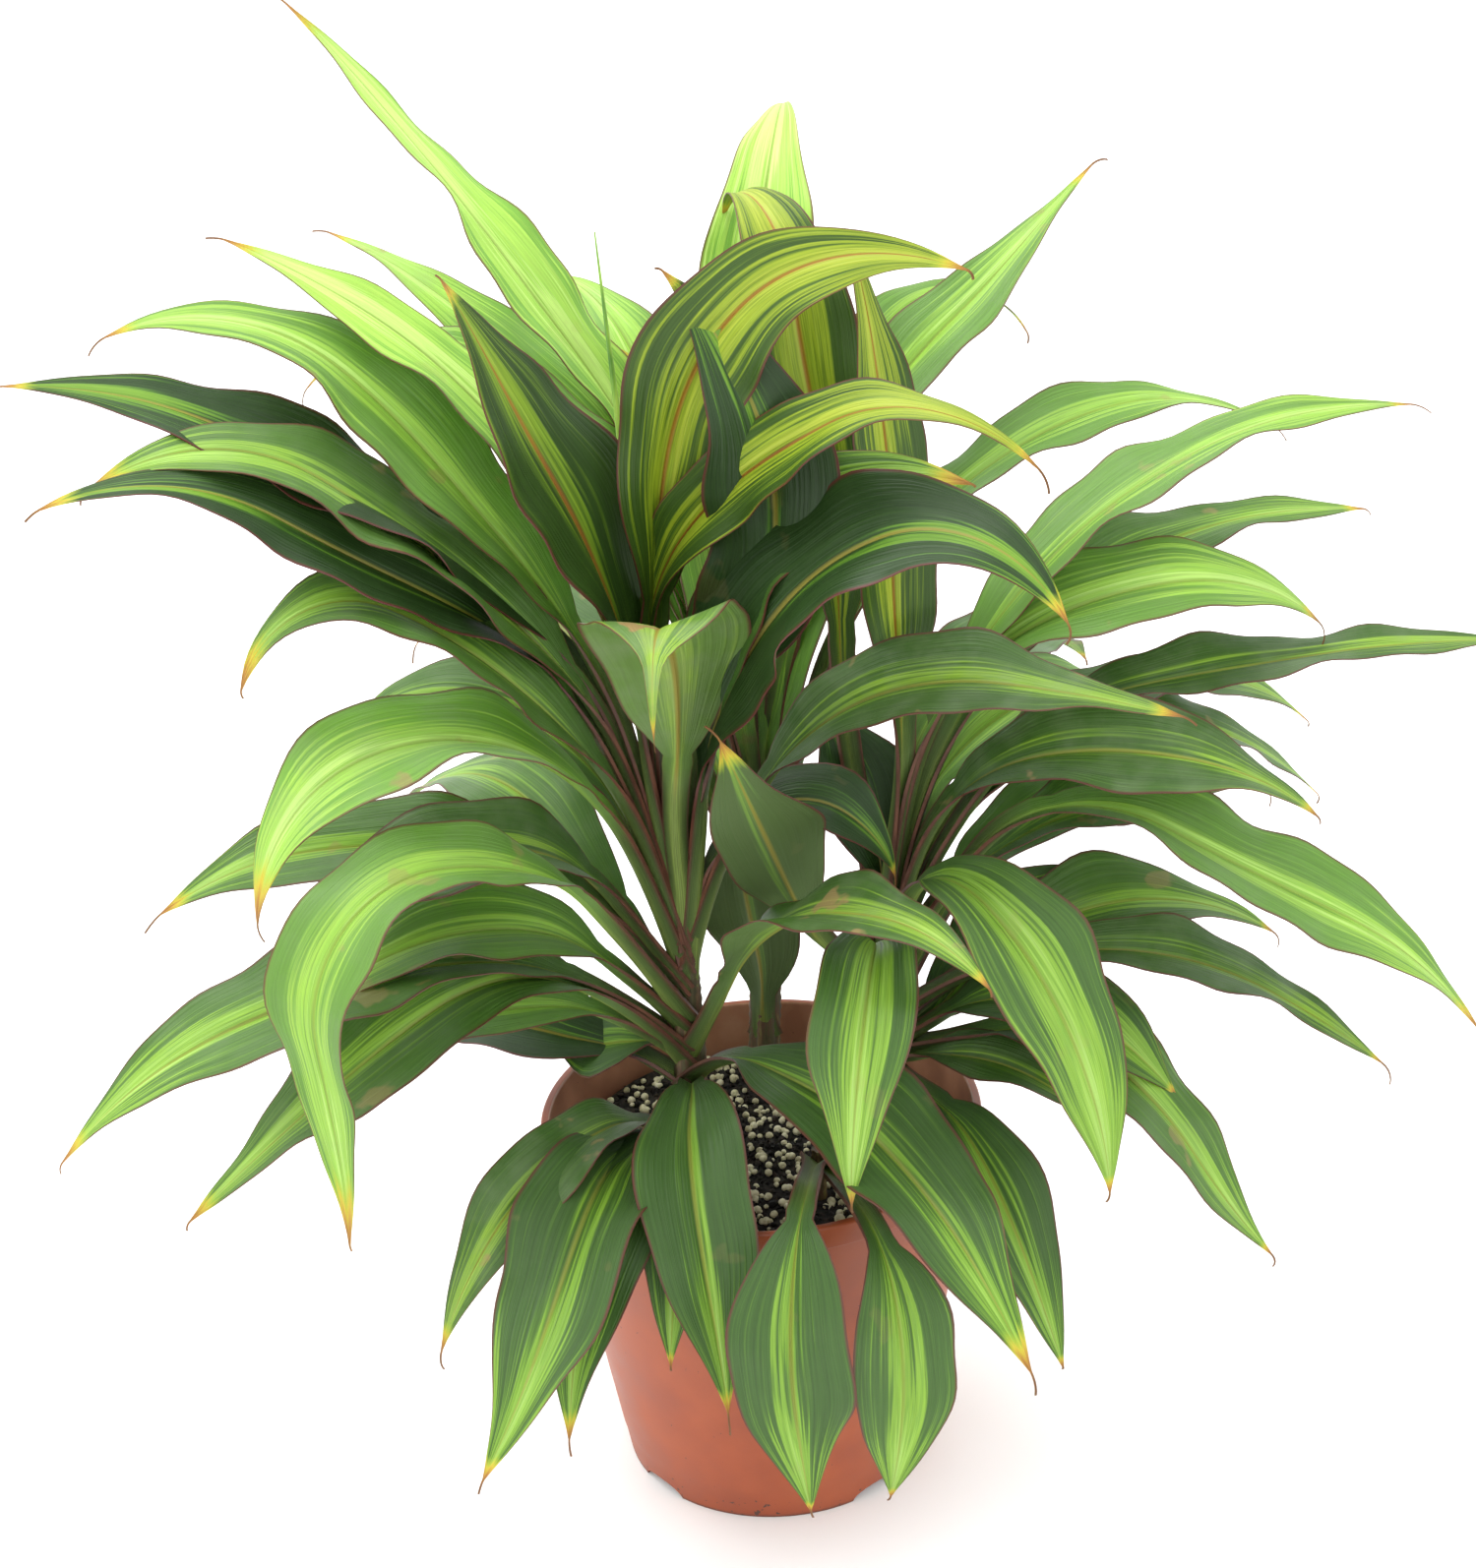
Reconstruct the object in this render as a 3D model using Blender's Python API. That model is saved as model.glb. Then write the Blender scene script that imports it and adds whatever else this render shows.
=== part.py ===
"""Potted ti plant: three leafy canes and a young shoot in a round plastic nursery pot.

Sizes are in millimetres and turned to metres when the meshes are made. The origin is the middle of
the pot's foot on the floor, +Z is up, and -Y is the plant's front. An azimuth is the direction that
a leaf points in, seen from above: 0 is right, 90 is back, 180 is left and 270 is front.
"""
import math

import bmesh
import bpy
import numpy as np
from mathutils import Matrix

MM = 0.001
GAP = 0.3

# Pot: a tapering wall with a collar at the rim, a low step, and a floor inside a notched skirt
POT_HEIGHT = 220
RIM_RADIUS = 125
FOOT_RADIUS = 87.5
WALL = 1.8
COLLAR_HEIGHT = 14
COLLAR_DEPTH = 2.6
LIP_RADIUS = 1.6
COLLAR_BEVEL = 1
STEP_HEIGHT = 20
STEP_DEPTH = 0.8
FLOOR_RADIUS = 60
CHANNEL_HEIGHT = 9
FLOOR_THICKNESS = 3
NOTCH_COUNT = 4
NOTCH_AZIMUTH = 219
NOTCH_WIDTH = 32
NOTCH_HEIGHT = 7
ARCH_SIDES = 20
DRAIN_RADIUS = 5
DRAIN_SIDES = 16
POT_SIDES = 36

# Soil: fills the pot to 30 mm below the rim, with a low mound and shallow dips on top
SOIL_TOP = 190
SOIL_RELIEF = 2.2
SOIL_RIPPLES = (21, 26)
SOIL_RINGS = 4

# Canes: name, foot (x, y), tip (x, y), tip height, radius at the foot
CANES = {
    "stem_left": ((-40, 0), (-37, 0), 345, 9.5),
    "stem_right": ((62, 15), (74, 18), 308, 9.0),
    "stem_middle": ((4, 75), (8, 82), 338, 9.5),
    "shoot_front": ((30, -45), (31, -47), 222, 5.0),
}
CANE_DEPTH = 45
CANE_SIDES = 12
CANE_STEPS = 5
CANE_TAPER = 0.25
CANE_COLLAR = 5

# A leaf is a channelled stalk that widens to a waved blade, folded along its midrib. BASE_OFFSET is
# in cane radii, and each share is a part of the leaf's length
STEP_LENGTH = 47
FEWEST_STEPS = 6
BASE_OFFSET = 0.45
STALK_SHARES = (0.38, 0.36, 0.27, 0.15)
STALK_DEPTHS = (0, 15, 50, 110)
STALK_HALF_WIDTH = 4.5
STALK_FLARE = 2
STALK_THICKNESS = 3.6
FLATTENING_SHARES = (-0.07, 0.1)
ROLL_SHARES = (0.1, 0.4)
TWIST_SHARES = (0.5, 0.9)
BLADE_THICKNESS = 0.9
BLADE_WIDEST = 0.47
BLADE_POWER = 0.85
TIP_HALF_WIDTH = 0.8
STALK_FOLD = 34
BLADE_FOLD = 12
LIGHT_TURN = 20
WAVE_HEIGHT = 2.6
WAVES = 2.5
EDGE_PHASE = 2
GOLDEN_ANGLE = 2.4

# Leaves, lowest first: height on the cane, azimuth, length, width, then the midrib's angle above
# level at the cane, a quarter, half and three quarters of the way along and at the tip, then how
# far the blade is turned about its midrib, past the turn that all blades at the sides have to the
# light at the front: one value, or one for its middle and one for its tip
LEAVES = {
    "stem_left": [
        (206, 266, 205, 50, (40, 26, -15, -60, -75), 0),
        (238, 273, 246, 62, (48, 8, -42, -64, -68), 0),
        (212, 243, 200, 50, (30, 14, -22, -48, -55), 0),
        (208, 251, 248, 58, (33, 16, -18, -52, -58), 0),
        (212, 246, 292, 70, (30, 13, -18, -32, -32), 0),
        (208, 230, 246, 45, (42, 28, -8, -45, -62), 0),
        (262, 162, 80, 54, (20, 5, -22, -18, 50), 0),
        (243, 309, 310, 72, (56, 6, -20, -30, -46), 0),
        (240, 160, 190, 50, (35, 15, 0, -15, -30), 0),
        (255, 204, 346, 64, (63, 33, -16, -34, -41), 0),
        (258, 193, 280, 55, (50, 25, -8, -35, -50), 0),
        (262, 309, 305, 58, (62, 57, 36, 10, -34), 0),
        (264, 200, 395, 66, (56, 30, 0, -24, -42), 0),
        (270, 128, 330, 58, (60, 40, 8, -20, -45), 0),
        (278, 200, 260, 60, (58, 45, 14, -10, -30), 0),
        (284, 222, 470, 58, (63, 53, 8, -92, -86), 0),
        (300, 188, 325, 62, (66, 45, 10, 0, -30), 0),
        (305, 200, 275, 62, (66, 56, 24, -12, -38), 0),
        (315, 207, 375, 66, (78, 68, 30, -18, -80), 0),
        (318, 160, 300, 50, (80, 68, 34, -5, -78), 0),
        (318, 345, 368, 62, (78, 64, 34, 0, -12), 0),
        (316, 138, 245, 52, (82, 70, 38, 5, -60), 0),
        (322, 356, 205, 48, (80, 74, 38, -40, -80), 0),
        (322, 203, 385, 62, (84, 70, 48, 34, -66), 5),
        (326, 195, 480, 60, (82, 70, 42, 35, -20), 5),
        (330, 191, 470, 62, (83, 74, 47, 36, -25), 5),
        (302, 324, 455, 86, (85, 82, 60, 24, -52), (-40, -15)),
        (332, 185, 510, 66, (82, 73, 44, 29, 8), 0),
        (332, 270, 330, 84, (86, 78, 74, 30, -85), 0),
        (330, 160, 414, 70, (93, 100, 120, 83, 37), (80, 45)),
        (334, 176, 500, 62, (84, 76, 56, 42, -18), 5),
        (335, 166, 480, 50, (87, 84, 63, 46, 16), 0),
        (336, 198, 404, 86, (85, 84, 78, 68, 61), (26, 20)),
        (337, 330, 478, 42, (99, 96, 58, 29, -44), (-60, -5)),
        (338, 337, 500, 62, (98, 94, 81, 43, -10), (-110, -45)),
        (334, 343, 361, 62, (84, 83, 73, 41, -8), (-36, -20)),
    ],
    "stem_right": [
        (228, 12, 190, 56, (52, 48, 40, 20, -10), -20),
        (238, 300, 222, 50, (12, -10, -28, -50, -66), 0),
        (240, 325, 148, 40, (25, 25, 5, -20, -35), 0),
        (245, 333, 278, 55, (26, 18, -26, -52, -44), 0),
        (245, 338, 205, 60, (42, 36, 10, -38, -55), 0),
        (252, 5, 250, 58, (45, 35, 15, -10, -35), 0),
        (255, 40, 330, 58, (55, 40, 5, -25, -50), 0),
        (262, 350, 310, 46, (45, 25, -8, -32, -36), 5),
        (274, 263, 290, 54, (68, 46, 6, -76, -88), 0),
        (275, 304, 342, 66, (84, 60, -20, -65, -84), 0),
        (280, 60, 360, 60, (72, 55, 20, -15, -45), 0),
        (282, 350, 432, 60, (70, 50, -26, -32, -54), 0),
        (285, 20, 280, 50, (65, 42, 10, -5, -30), 0),
        (290, 225, 228, 60, (46, 50, 60, 68, 72), -56),
        (288, 20, 370, 45, (75, 55, 8, -30, -50), 0),
        (290, 118, 170, 56, (92, 88, 74, 55, 40), 0),
        (290, 350, 335, 64, (86, 68, 21, -7, -45), 0),
        (290, 24, 370, 45, (78, 58, 14, -15, -45), 0),
        (296, 5, 440, 44, (75, 55, 12, 5, -12), 8),
        (296, 42, 290, 60, (80, 62, 25, -10, -40), 0),
        (298, 25, 440, 48, (84, 70, 26, 8, -15), 0),
        (299, 5, 400, 66, (90, 79, 40, 6, -50), 0),
        (300, 15, 480, 54, (88, 75, 40, 20, -8), 12),
        (300, 168, 421, 50, (98, 97, 90, 81, 81), 28),
        (300, 116, 500, 62, (79, 79, 78, 88, -60), 4),
    ],
    "stem_middle": [
        (224, 262, 165, 56, (84, 82, 78, 70, 55), 0),
        (262, 100, 340, 60, (55, 40, 5, -30, -55), 0),
        (285, 85, 370, 60, (70, 52, 14, -20, -50), 0),
        (292, 135, 380, 60, (72, 55, 20, -15, -45), 0),
        (302, 138, 450, 45, (84, 78, 64, 30, -50), 0),
        (310, 165, 480, 45, (84, 80, 64, 30, -50), 0),
        (314, 100, 420, 62, (80, 68, 36, 0, -40), 0),
        (316, 152, 480, 45, (83, 78, 60, 38, 10), 0),
        (300, 118, 310, 55, (88, 84, 75, 60, 30), 0),
        (312, 140, 340, 55, (90, 88, 80, 70, 30), 0),
        (314, 40, 460, 42, (84, 82, 70, 30, -60), 0),
        (322, 128, 400, 60, (88, 84, 72, 50, 0), 0),
        (322, 15, 464, 46, (78, 68, 46, 6, -32), 8),
        (318, 65, 260, 60, (88, 84, 75, 55, 20), 0),
        (326, 28, 465, 48, (82, 79, 66, 32, 34), 0),
        (330, 172, 560, 52, (84, 80, 66, 52, 48), -6),
        (334, 79, 478, 62, (82, 80, 79, 70, -20), 0),
    ],
    "shoot_front": [
        (212, 285, 255, 58, (22, 8, -65, -88, -104), 0),
        (214, 263, 278, 66, (30, 22, -64, -88, -90), 0),
    ],
}
SPEAR_CANE = "stem_left"
SPEAR_ROOT = 15
SPEAR_LENGTH = 395
SPEAR_RADIUS = 5.5
SPEAR_LEAN = 6
SPEAR_AZIMUTH = 125
SPEAR_STEPS = 6
SPEAR_SIDES = 6

# Round pieces are smooth up to this angle between their faces, in degrees
SMOOTH_ANGLE = 40


def along_cane(cane, height):
    """Middle of a cane at a height."""
    foot, tip, top, _ = CANES[cane]
    share = (height - SOIL_TOP) / (top - SOIL_TOP)
    return np.array([foot[0] + (tip[0] - foot[0]) * share, foot[1] + (tip[1] - foot[1]) * share, height])


def stalk_share(cane, height):
    """Part of a leaf's length that is stalk: the deeper below the cane's tip, the shorter."""
    return np.interp(CANES[cane][2] - height, STALK_DEPTHS, STALK_SHARES)


def half_width(share, width, stalk):
    """Half the width of a leaf, from its stalk to its drawn-out tip."""
    if share < stalk:
        return STALK_HALF_WIDTH + STALK_FLARE * (share / stalk) ** 3
    along = min((share - stalk) / (1 - stalk), 1)
    fall = BLADE_POWER * (1 - BLADE_WIDEST) / BLADE_WIDEST
    shape = (along / BLADE_WIDEST) ** BLADE_POWER * ((1 - along) / (1 - BLADE_WIDEST)) ** fall
    least = (STALK_HALF_WIDTH + STALK_FLARE) * (1 - along) ** 2 + TIP_HALF_WIDTH
    return max(width / 2 * shape, least)


def blend(share, start, end):
    """0 before start, 1 after end and smooth between them."""
    part = min(max((share - start) / (end - start), 0), 1)
    return part * part * (3 - 2 * part)


def midrib(cane, leaf, steps, fine=6):
    """Points of a leaf's midrib with the directions of its side and its upper face."""
    height, azimuth, length, _, angles, rolls = leaf
    turn = math.radians(azimuth)
    middle_roll, tip_roll = np.broadcast_to(rolls, 2)
    out = np.array([math.cos(turn), math.sin(turn), 0])
    point = along_cane(cane, height) + out * CANES[cane][3] * BASE_OFFSET
    side = np.array([-math.sin(turn), math.cos(turn), 0])
    up = np.array([0, 0, 1])
    stations = []
    for step in range(steps * fine + 1):
        share = step / (steps * fine)
        rise = math.radians(np.interp(share, (0, 0.25, 0.5, 0.75, 1), angles))
        face = up * math.cos(rise) - out * math.sin(rise)
        if step % fine == 0:
            roll = middle_roll + (tip_roll - middle_roll) * blend(share, *TWIST_SHARES)
            tilt = math.radians(roll - LIGHT_TURN * math.cos(turn)) * blend(share, *ROLL_SHARES)
            turned_face = face * math.cos(tilt) + side * math.sin(tilt)
            turned_side = side * math.cos(tilt) - face * math.sin(tilt)
            stations.append((share, point, turned_side, turned_face))
        point = point + (out * math.cos(rise) + up * math.sin(rise)) * length / (steps * fine)
    return stations


def leaf_surface(cane, leaf, phase):
    """Points and triangles of one closed leaf: left edge, midrib and right edge on both faces."""
    steps = max(FEWEST_STEPS, round(leaf[2] / STEP_LENGTH))
    stalk = stalk_share(cane, leaf[0])
    points = []
    for share, middle, side, face in midrib(cane, leaf, steps):
        half = half_width(share, leaf[3], stalk)
        blade = blend(share - stalk, *FLATTENING_SHARES)
        fold = math.tan(math.radians(STALK_FOLD + (BLADE_FOLD - STALK_FOLD) * blade))
        thickness = STALK_THICKNESS + (BLADE_THICKNESS - STALK_THICKNESS) * blade
        wave = WAVE_HEIGHT * blade * half / (leaf[3] / 2)
        for sign in (1, 0, -1):
            ripple = wave * math.sin(2 * math.pi * WAVES * share + phase + EDGE_PHASE * sign)
            lift = half * fold + ripple if sign else 0
            points.append(middle + side * half * sign + face * lift)
        points += [point - face * thickness for point in points[-3:]]
    triangles = []
    for step in range(steps):
        a, b = step * 6, step * 6 + 6
        for left, right in ((0, 1), (1, 2)):
            triangles += [(a + left, a + right, b + right), (a + left, b + right, b + left)]
            low, high = left + 3, right + 3
            triangles += [(a + high, a + low, b + high), (b + high, a + low, b + low)]
        triangles += [(a, b + 3, a + 3), (a, b, b + 3)]
        triangles += [(a + 2, a + 5, b + 5), (a + 2, b + 5, b + 2)]
    last = steps * 6
    for first, turn in ((0, 1), (last, -1)):
        cap = [(0, 3, 4), (0, 4, 1), (1, 4, 5), (1, 5, 2)]
        triangles += [tuple(first + corner for corner in face[::turn]) for face in cap]
    return points, triangles


def finish_mesh(name, shape, material=None, origin=(0, 0, 0)):
    """Object in metres from a bmesh in millimetres, standing at its own origin, with its material."""
    bmesh.ops.translate(shape, verts=shape.verts, vec=[-value for value in origin])
    bmesh.ops.scale(shape, verts=shape.verts, vec=(MM, MM, MM))
    bmesh.ops.recalc_face_normals(shape, faces=shape.faces)
    mesh = bpy.data.meshes.new(name)
    shape.to_mesh(mesh)
    shape.free()
    if material:
        mesh.materials.append(material)
    mesh.shade_smooth()
    mesh.set_sharp_from_angle(angle=math.radians(SMOOTH_ANGLE))
    piece = bpy.data.objects.new(name, mesh)
    piece.location = [value * MM for value in origin]
    bpy.context.scene.collection.objects.link(piece)
    return piece


def plain_material(name, colour, roughness):
    """Material of one piece, with its colour as the photograph shows it."""
    material = bpy.data.materials.new(name)
    material.use_nodes = True
    shader = material.node_tree.nodes["Principled BSDF"]
    shader.inputs["Base Color"].default_value = (*colour, 1)
    shader.inputs["Roughness"].default_value = roughness
    return material


def turned(profile, sides):
    """Closed shape turned about the pot's axis from (radius, height) points that start and end on it."""
    shape = bmesh.new()
    corners = [shape.verts.new((radius, 0, height)) for radius, height in profile]
    edges = [shape.edges.new(pair) for pair in zip(corners, corners[1:])]
    bmesh.ops.spin(
        shape, geom=corners + edges, cent=(0, 0, 0), axis=(0, 0, 1), angle=2 * math.pi, steps=sides
    )
    bmesh.ops.remove_doubles(shape, verts=shape.verts, dist=0.01)
    return shape


def cut(piece, cutter):
    """Cuts a shape out of a piece and applies the cut."""
    cutter.hide_render = True
    cutter.display_type = "WIRE"
    modifier = piece.modifiers.new("cut", "BOOLEAN")
    modifier.operation = "DIFFERENCE"
    modifier.solver = "EXACT"
    modifier.object = cutter
    apply_modifiers(piece)
    bpy.data.objects.remove(cutter)


def apply_modifiers(piece):
    """Makes a piece's evaluated mesh its own."""
    graph = bpy.context.evaluated_depsgraph_get()
    mesh = bpy.data.meshes.new_from_object(piece.evaluated_get(graph))
    piece.modifiers.clear()
    piece.data = mesh


def wall_line(height):
    """Outer radius of the pot's tapering wall, below the step."""
    return FOOT_RADIUS + (RIM_RADIUS - COLLAR_DEPTH - STEP_DEPTH - FOOT_RADIUS) * height / POT_HEIGHT


def arc(radius, height, size, start, end, steps=3):
    """Points of a round edge in a profile, between two angles in degrees."""
    turns = [math.radians(start + (end - start) * step / steps) for step in range(steps + 1)]
    return [(radius + size * math.cos(turn), height + size * math.sin(turn)) for turn in turns]


def make_pot():
    """Moulded pot: floor, drain channel inside a skirt, tapering wall, collar and rounded lip."""
    roof = CHANNEL_HEIGHT + FLOOR_THICKNESS
    under = POT_HEIGHT - COLLAR_HEIGHT
    lip = POT_HEIGHT - LIP_RADIUS
    profile = [(0, 0), (FLOOR_RADIUS, 0), (FLOOR_RADIUS, CHANNEL_HEIGHT)]
    profile += [(wall_line(CHANNEL_HEIGHT) - WALL, CHANNEL_HEIGHT), (FOOT_RADIUS - WALL, 0)]
    profile += [(FOOT_RADIUS, 0), (wall_line(STEP_HEIGHT), STEP_HEIGHT)]
    profile += [(wall_line(STEP_HEIGHT) + STEP_DEPTH, STEP_HEIGHT + STEP_DEPTH)]
    profile += [(wall_line(under) + STEP_DEPTH, under)]
    profile += [(RIM_RADIUS - COLLAR_BEVEL, under), (RIM_RADIUS, under + COLLAR_BEVEL)]
    profile += arc(RIM_RADIUS - LIP_RADIUS, lip, LIP_RADIUS, 0, 90)
    profile += arc(wall_line(POT_HEIGHT) - WALL + LIP_RADIUS, lip, LIP_RADIUS, 90, 180)
    profile += [(wall_line(roof) - WALL, roof), (FLOOR_RADIUS - FLOOR_THICKNESS, roof)]
    profile += [(FLOOR_RADIUS - FLOOR_THICKNESS, FLOOR_THICKNESS), (0, FLOOR_THICKNESS)]
    clay_red = plain_material("clay_red_plastic", (0.45, 0.13, 0.06), 0.45)
    pot = finish_mesh("pot", turned(profile, POT_SIDES), clay_red)
    cut(pot, make_drains())
    return pot


def make_drains():
    """Arched notches through the skirt, and between them round holes down into the channel."""
    shape = bmesh.new()
    for number in range(NOTCH_COUNT):
        turn = math.radians(NOTCH_AZIMUTH + 360 / NOTCH_COUNT * number)
        around = Matrix.Rotation(turn, 4, "Z") @ Matrix.Translation((FOOT_RADIUS, 0, 0))
        across = Matrix.Diagonal((1, NOTCH_WIDTH / 2, NOTCH_HEIGHT, 1))
        arch = around @ across @ Matrix.Rotation(math.pi / 2, 4, "Y")
        bmesh.ops.create_cone(
            shape, cap_ends=True, segments=ARCH_SIDES, radius1=1, radius2=1, depth=8 * WALL, matrix=arch
        )
        between = Matrix.Rotation(turn + math.pi / NOTCH_COUNT, 4, "Z")
        hole = between @ Matrix.Translation(((FLOOR_RADIUS + FOOT_RADIUS) / 2, 0, CHANNEL_HEIGHT))
        bmesh.ops.create_cone(
            shape, cap_ends=True, segments=DRAIN_SIDES, radius1=DRAIN_RADIUS, radius2=DRAIN_RADIUS,
            depth=4 * FLOOR_THICKNESS, matrix=hole
        )
    return finish_mesh("drains", shape)


def soil_height(x, y):
    """Top of the soil: two crossing ripples on a level fill."""
    across, along = SOIL_RIPPLES
    return SOIL_TOP + SOIL_RELIEF * math.sin(x / across + 1) * math.cos(y / along)


def make_soil():
    """Potting mix that fills the pot from its floor, with a plain hole for each cane."""
    inner = WALL + GAP
    roof = CHANNEL_HEIGHT + FLOOR_THICKNESS + GAP
    well = FLOOR_RADIUS - FLOOR_THICKNESS - GAP
    bottom = FLOOR_THICKNESS + GAP
    edge = wall_line(SOIL_TOP) - inner - SOIL_RELIEF
    profile = [(0, bottom), (well, bottom), (well, roof), (wall_line(roof) - inner, roof)]
    profile += [(edge * ring / SOIL_RINGS, SOIL_TOP) for ring in range(SOIL_RINGS, -1, -1)]
    shape = turned(profile, POT_SIDES)
    for corner in shape.verts:
        if corner.co.z > SOIL_TOP - 1:
            corner.co.z = soil_height(corner.co.x, corner.co.y)
    soil = finish_mesh("soil", shape, plain_material("potting_mix", (0.02, 0.015, 0.012), 0.95))
    for name in CANES:
        low = SOIL_TOP - CANE_DEPTH - GAP
        hole = cane_shape(name, low, SOIL_TOP + CANE_COLLAR, 1, GAP / math.cos(math.pi / CANE_SIDES))
        cut(soil, finish_mesh("hole", hole))
    return soil


def cane_shape(name, low, high, steps, extra=0):
    """Round cane between two heights, narrowing a little from just above the soil to its tip."""
    top, radius = CANES[name][2:]
    shape = bmesh.new()
    rings = []
    for step in range(steps + 1):
        height = low + (high - low) * step / steps
        above = max(height - SOIL_TOP - CANE_COLLAR, 0) / (top - SOIL_TOP)
        middle = along_cane(name, height)
        ring = []
        for side in range(CANE_SIDES):
            turn = 2 * math.pi * side / CANE_SIDES
            out = np.array([math.cos(turn), math.sin(turn), 0])
            ring.append(shape.verts.new(middle + out * (radius + extra) * (1 - CANE_TAPER * above)))
        rings.append(ring)
    close_tube(shape, rings)
    return shape


def close_tube(shape, rings):
    """Faces between rings of corners, with a cap at each end."""
    for below, above in zip(rings, rings[1:]):
        for side, corner in enumerate(below):
            after = (side + 1) % len(below)
            shape.faces.new((corner, below[after], above[after], above[side]))
    shape.faces.new(rings[0][::-1])
    shape.faces.new(rings[-1])


def spear_shape(name):
    """Young leaf still rolled up, standing out of a cane's tip."""
    turn = math.radians(SPEAR_AZIMUTH)
    lean = math.tan(math.radians(SPEAR_LEAN))
    foot = along_cane(name, CANES[name][2] - SPEAR_ROOT)
    shape = bmesh.new()
    rings = []
    for step in range(SPEAR_STEPS + 1):
        share = step / SPEAR_STEPS
        middle = foot + np.array([math.cos(turn) * lean, math.sin(turn) * lean, 1]) * SPEAR_LENGTH * share
        size = SPEAR_RADIUS * (1 - share) + TIP_HALF_WIDTH
        angles = [2 * math.pi * side / SPEAR_SIDES for side in range(SPEAR_SIDES)]
        rings.append([
            shape.verts.new(middle + np.array([math.cos(angle), math.sin(angle), 0]) * size)
            for angle in angles
        ])
    close_tube(shape, rings)
    return shape


def leaf_shape(name, leaf, phase):
    """One leaf as a closed shape."""
    points, triangles = leaf_surface(name, leaf, phase)
    shape = bmesh.new()
    corners = [shape.verts.new(point) for point in points]
    for triangle in triangles:
        shape.faces.new([corners[number] for number in triangle])
    return shape


def keep_largest(piece):
    """Drops loose scraps and fills the hollows that the union sealed between crossing leaves."""
    shape = bmesh.new()
    shape.from_mesh(piece.data)
    left = set(shape.faces)
    bodies = []
    while left:
        body = [left.pop()]
        for face in body:
            for edge in face.edges:
                found = [other for other in edge.link_faces if other in left]
                left.difference_update(found)
                body += found
        bodies.append(body)
    largest = max(bodies, key=len)
    scraps = [face for body in bodies if body is not largest for face in body]
    bmesh.ops.delete(shape, geom=scraps, context="FACES")
    bmesh.ops.triangulate(shape, faces=shape.faces)
    shape.to_mesh(piece.data)
    shape.free()


def make_stem(name, first):
    """Cane with its leaves and rolled young leaf, joined to one body as they grew."""
    green = plain_material(name + "_green", (0.05, 0.16, 0.03), 0.4)
    origin = along_cane(name, SOIL_TOP)
    cane = cane_shape(name, SOIL_TOP - CANE_DEPTH, CANES[name][2], CANE_STEPS)
    stem = finish_mesh(name, cane, green, origin)
    growth = bpy.data.collections.new("growth")
    bpy.context.scene.collection.children.link(growth)
    shapes = [leaf_shape(name, leaf, GOLDEN_ANGLE * (first + row)) for row, leaf in enumerate(LEAVES[name])]
    if name == SPEAR_CANE:
        shapes.append(spear_shape(name))
    for shape in shapes:
        leaf = finish_mesh("leaf", shape, green, origin)
        bpy.context.scene.collection.objects.unlink(leaf)
        growth.objects.link(leaf)
    union = stem.modifiers.new("growth", "BOOLEAN")
    union.operation = "UNION"
    union.operand_type = "COLLECTION"
    union.solver = "EXACT"
    union.collection = growth
    apply_modifiers(stem)
    for leaf in list(growth.objects):
        bpy.data.objects.remove(leaf)
    bpy.data.collections.remove(growth)
    keep_largest(stem)
    return stem


def main():
    for thing in list(bpy.data.objects):
        bpy.data.objects.remove(thing)
    plant = bpy.data.objects.new("potted_ti_plant", None)
    bpy.context.scene.collection.objects.link(plant)
    pieces = [make_pot(), make_soil()]
    first = 0
    for name, leaves in LEAVES.items():
        pieces.append(make_stem(name, first))
        first += len(leaves)
    for piece in pieces:
        piece.parent = plant


main()
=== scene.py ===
"""Potted ti plant: the looks of the pot, the potting mix, the canes and every leaf.

Sizes are in millimetres and turned to metres where a mesh is made. Heights, azimuths and angles are
those of the solids: +Z is up, -Y is the front, and an azimuth of 0 is right, 90 back, 180 left.
"""
import math

import bpy
import numpy as np
from mathutils import Matrix, Vector


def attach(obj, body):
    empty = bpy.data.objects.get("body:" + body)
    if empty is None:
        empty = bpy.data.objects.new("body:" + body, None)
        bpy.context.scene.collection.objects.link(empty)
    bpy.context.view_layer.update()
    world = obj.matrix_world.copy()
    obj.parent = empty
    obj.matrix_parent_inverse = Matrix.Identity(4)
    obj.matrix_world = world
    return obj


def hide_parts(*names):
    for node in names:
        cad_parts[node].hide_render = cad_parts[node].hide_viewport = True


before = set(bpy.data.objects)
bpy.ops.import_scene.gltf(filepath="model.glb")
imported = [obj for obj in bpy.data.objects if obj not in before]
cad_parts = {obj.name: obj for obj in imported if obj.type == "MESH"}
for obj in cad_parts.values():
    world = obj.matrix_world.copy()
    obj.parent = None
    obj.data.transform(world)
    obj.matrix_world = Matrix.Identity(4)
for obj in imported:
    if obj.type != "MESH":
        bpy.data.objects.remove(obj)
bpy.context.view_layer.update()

# Pot: a nursery pot moulded in clay-red polypropylene, 250 mm across its collar. One wall tapers down
# to a notched skirt round a raised floor. It is worked ring by ring as a turned outline, then the
# drain notches and holes are cut.
MM = 0.001
POT_HEIGHT = 220
RIM_RADIUS = 125
FOOT_RADIUS = 87.5
FOOT_BEVEL = 0.6
WALL = 1.8
OUTER_RINGS = (60, 100, 140, 180)
INNER_RINGS = (200, 150, 100, 50)
COLLAR_HEIGHT = 14
COLLAR_DEPTH = 2.6
COLLAR_BEVEL = 1
COLLAR_COVE = 0.8
LIP_RADIUS = 1.6
STEP_HEIGHT = 20
STEP_RISE = 2
STEP_DEPTH = 0.8
FLOOR_RADIUS = 60
CHANNEL_HEIGHT = 9
FLOOR_THICKNESS = 3
NOTCH_COUNT = 4
NOTCH_AZIMUTH = 219
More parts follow.
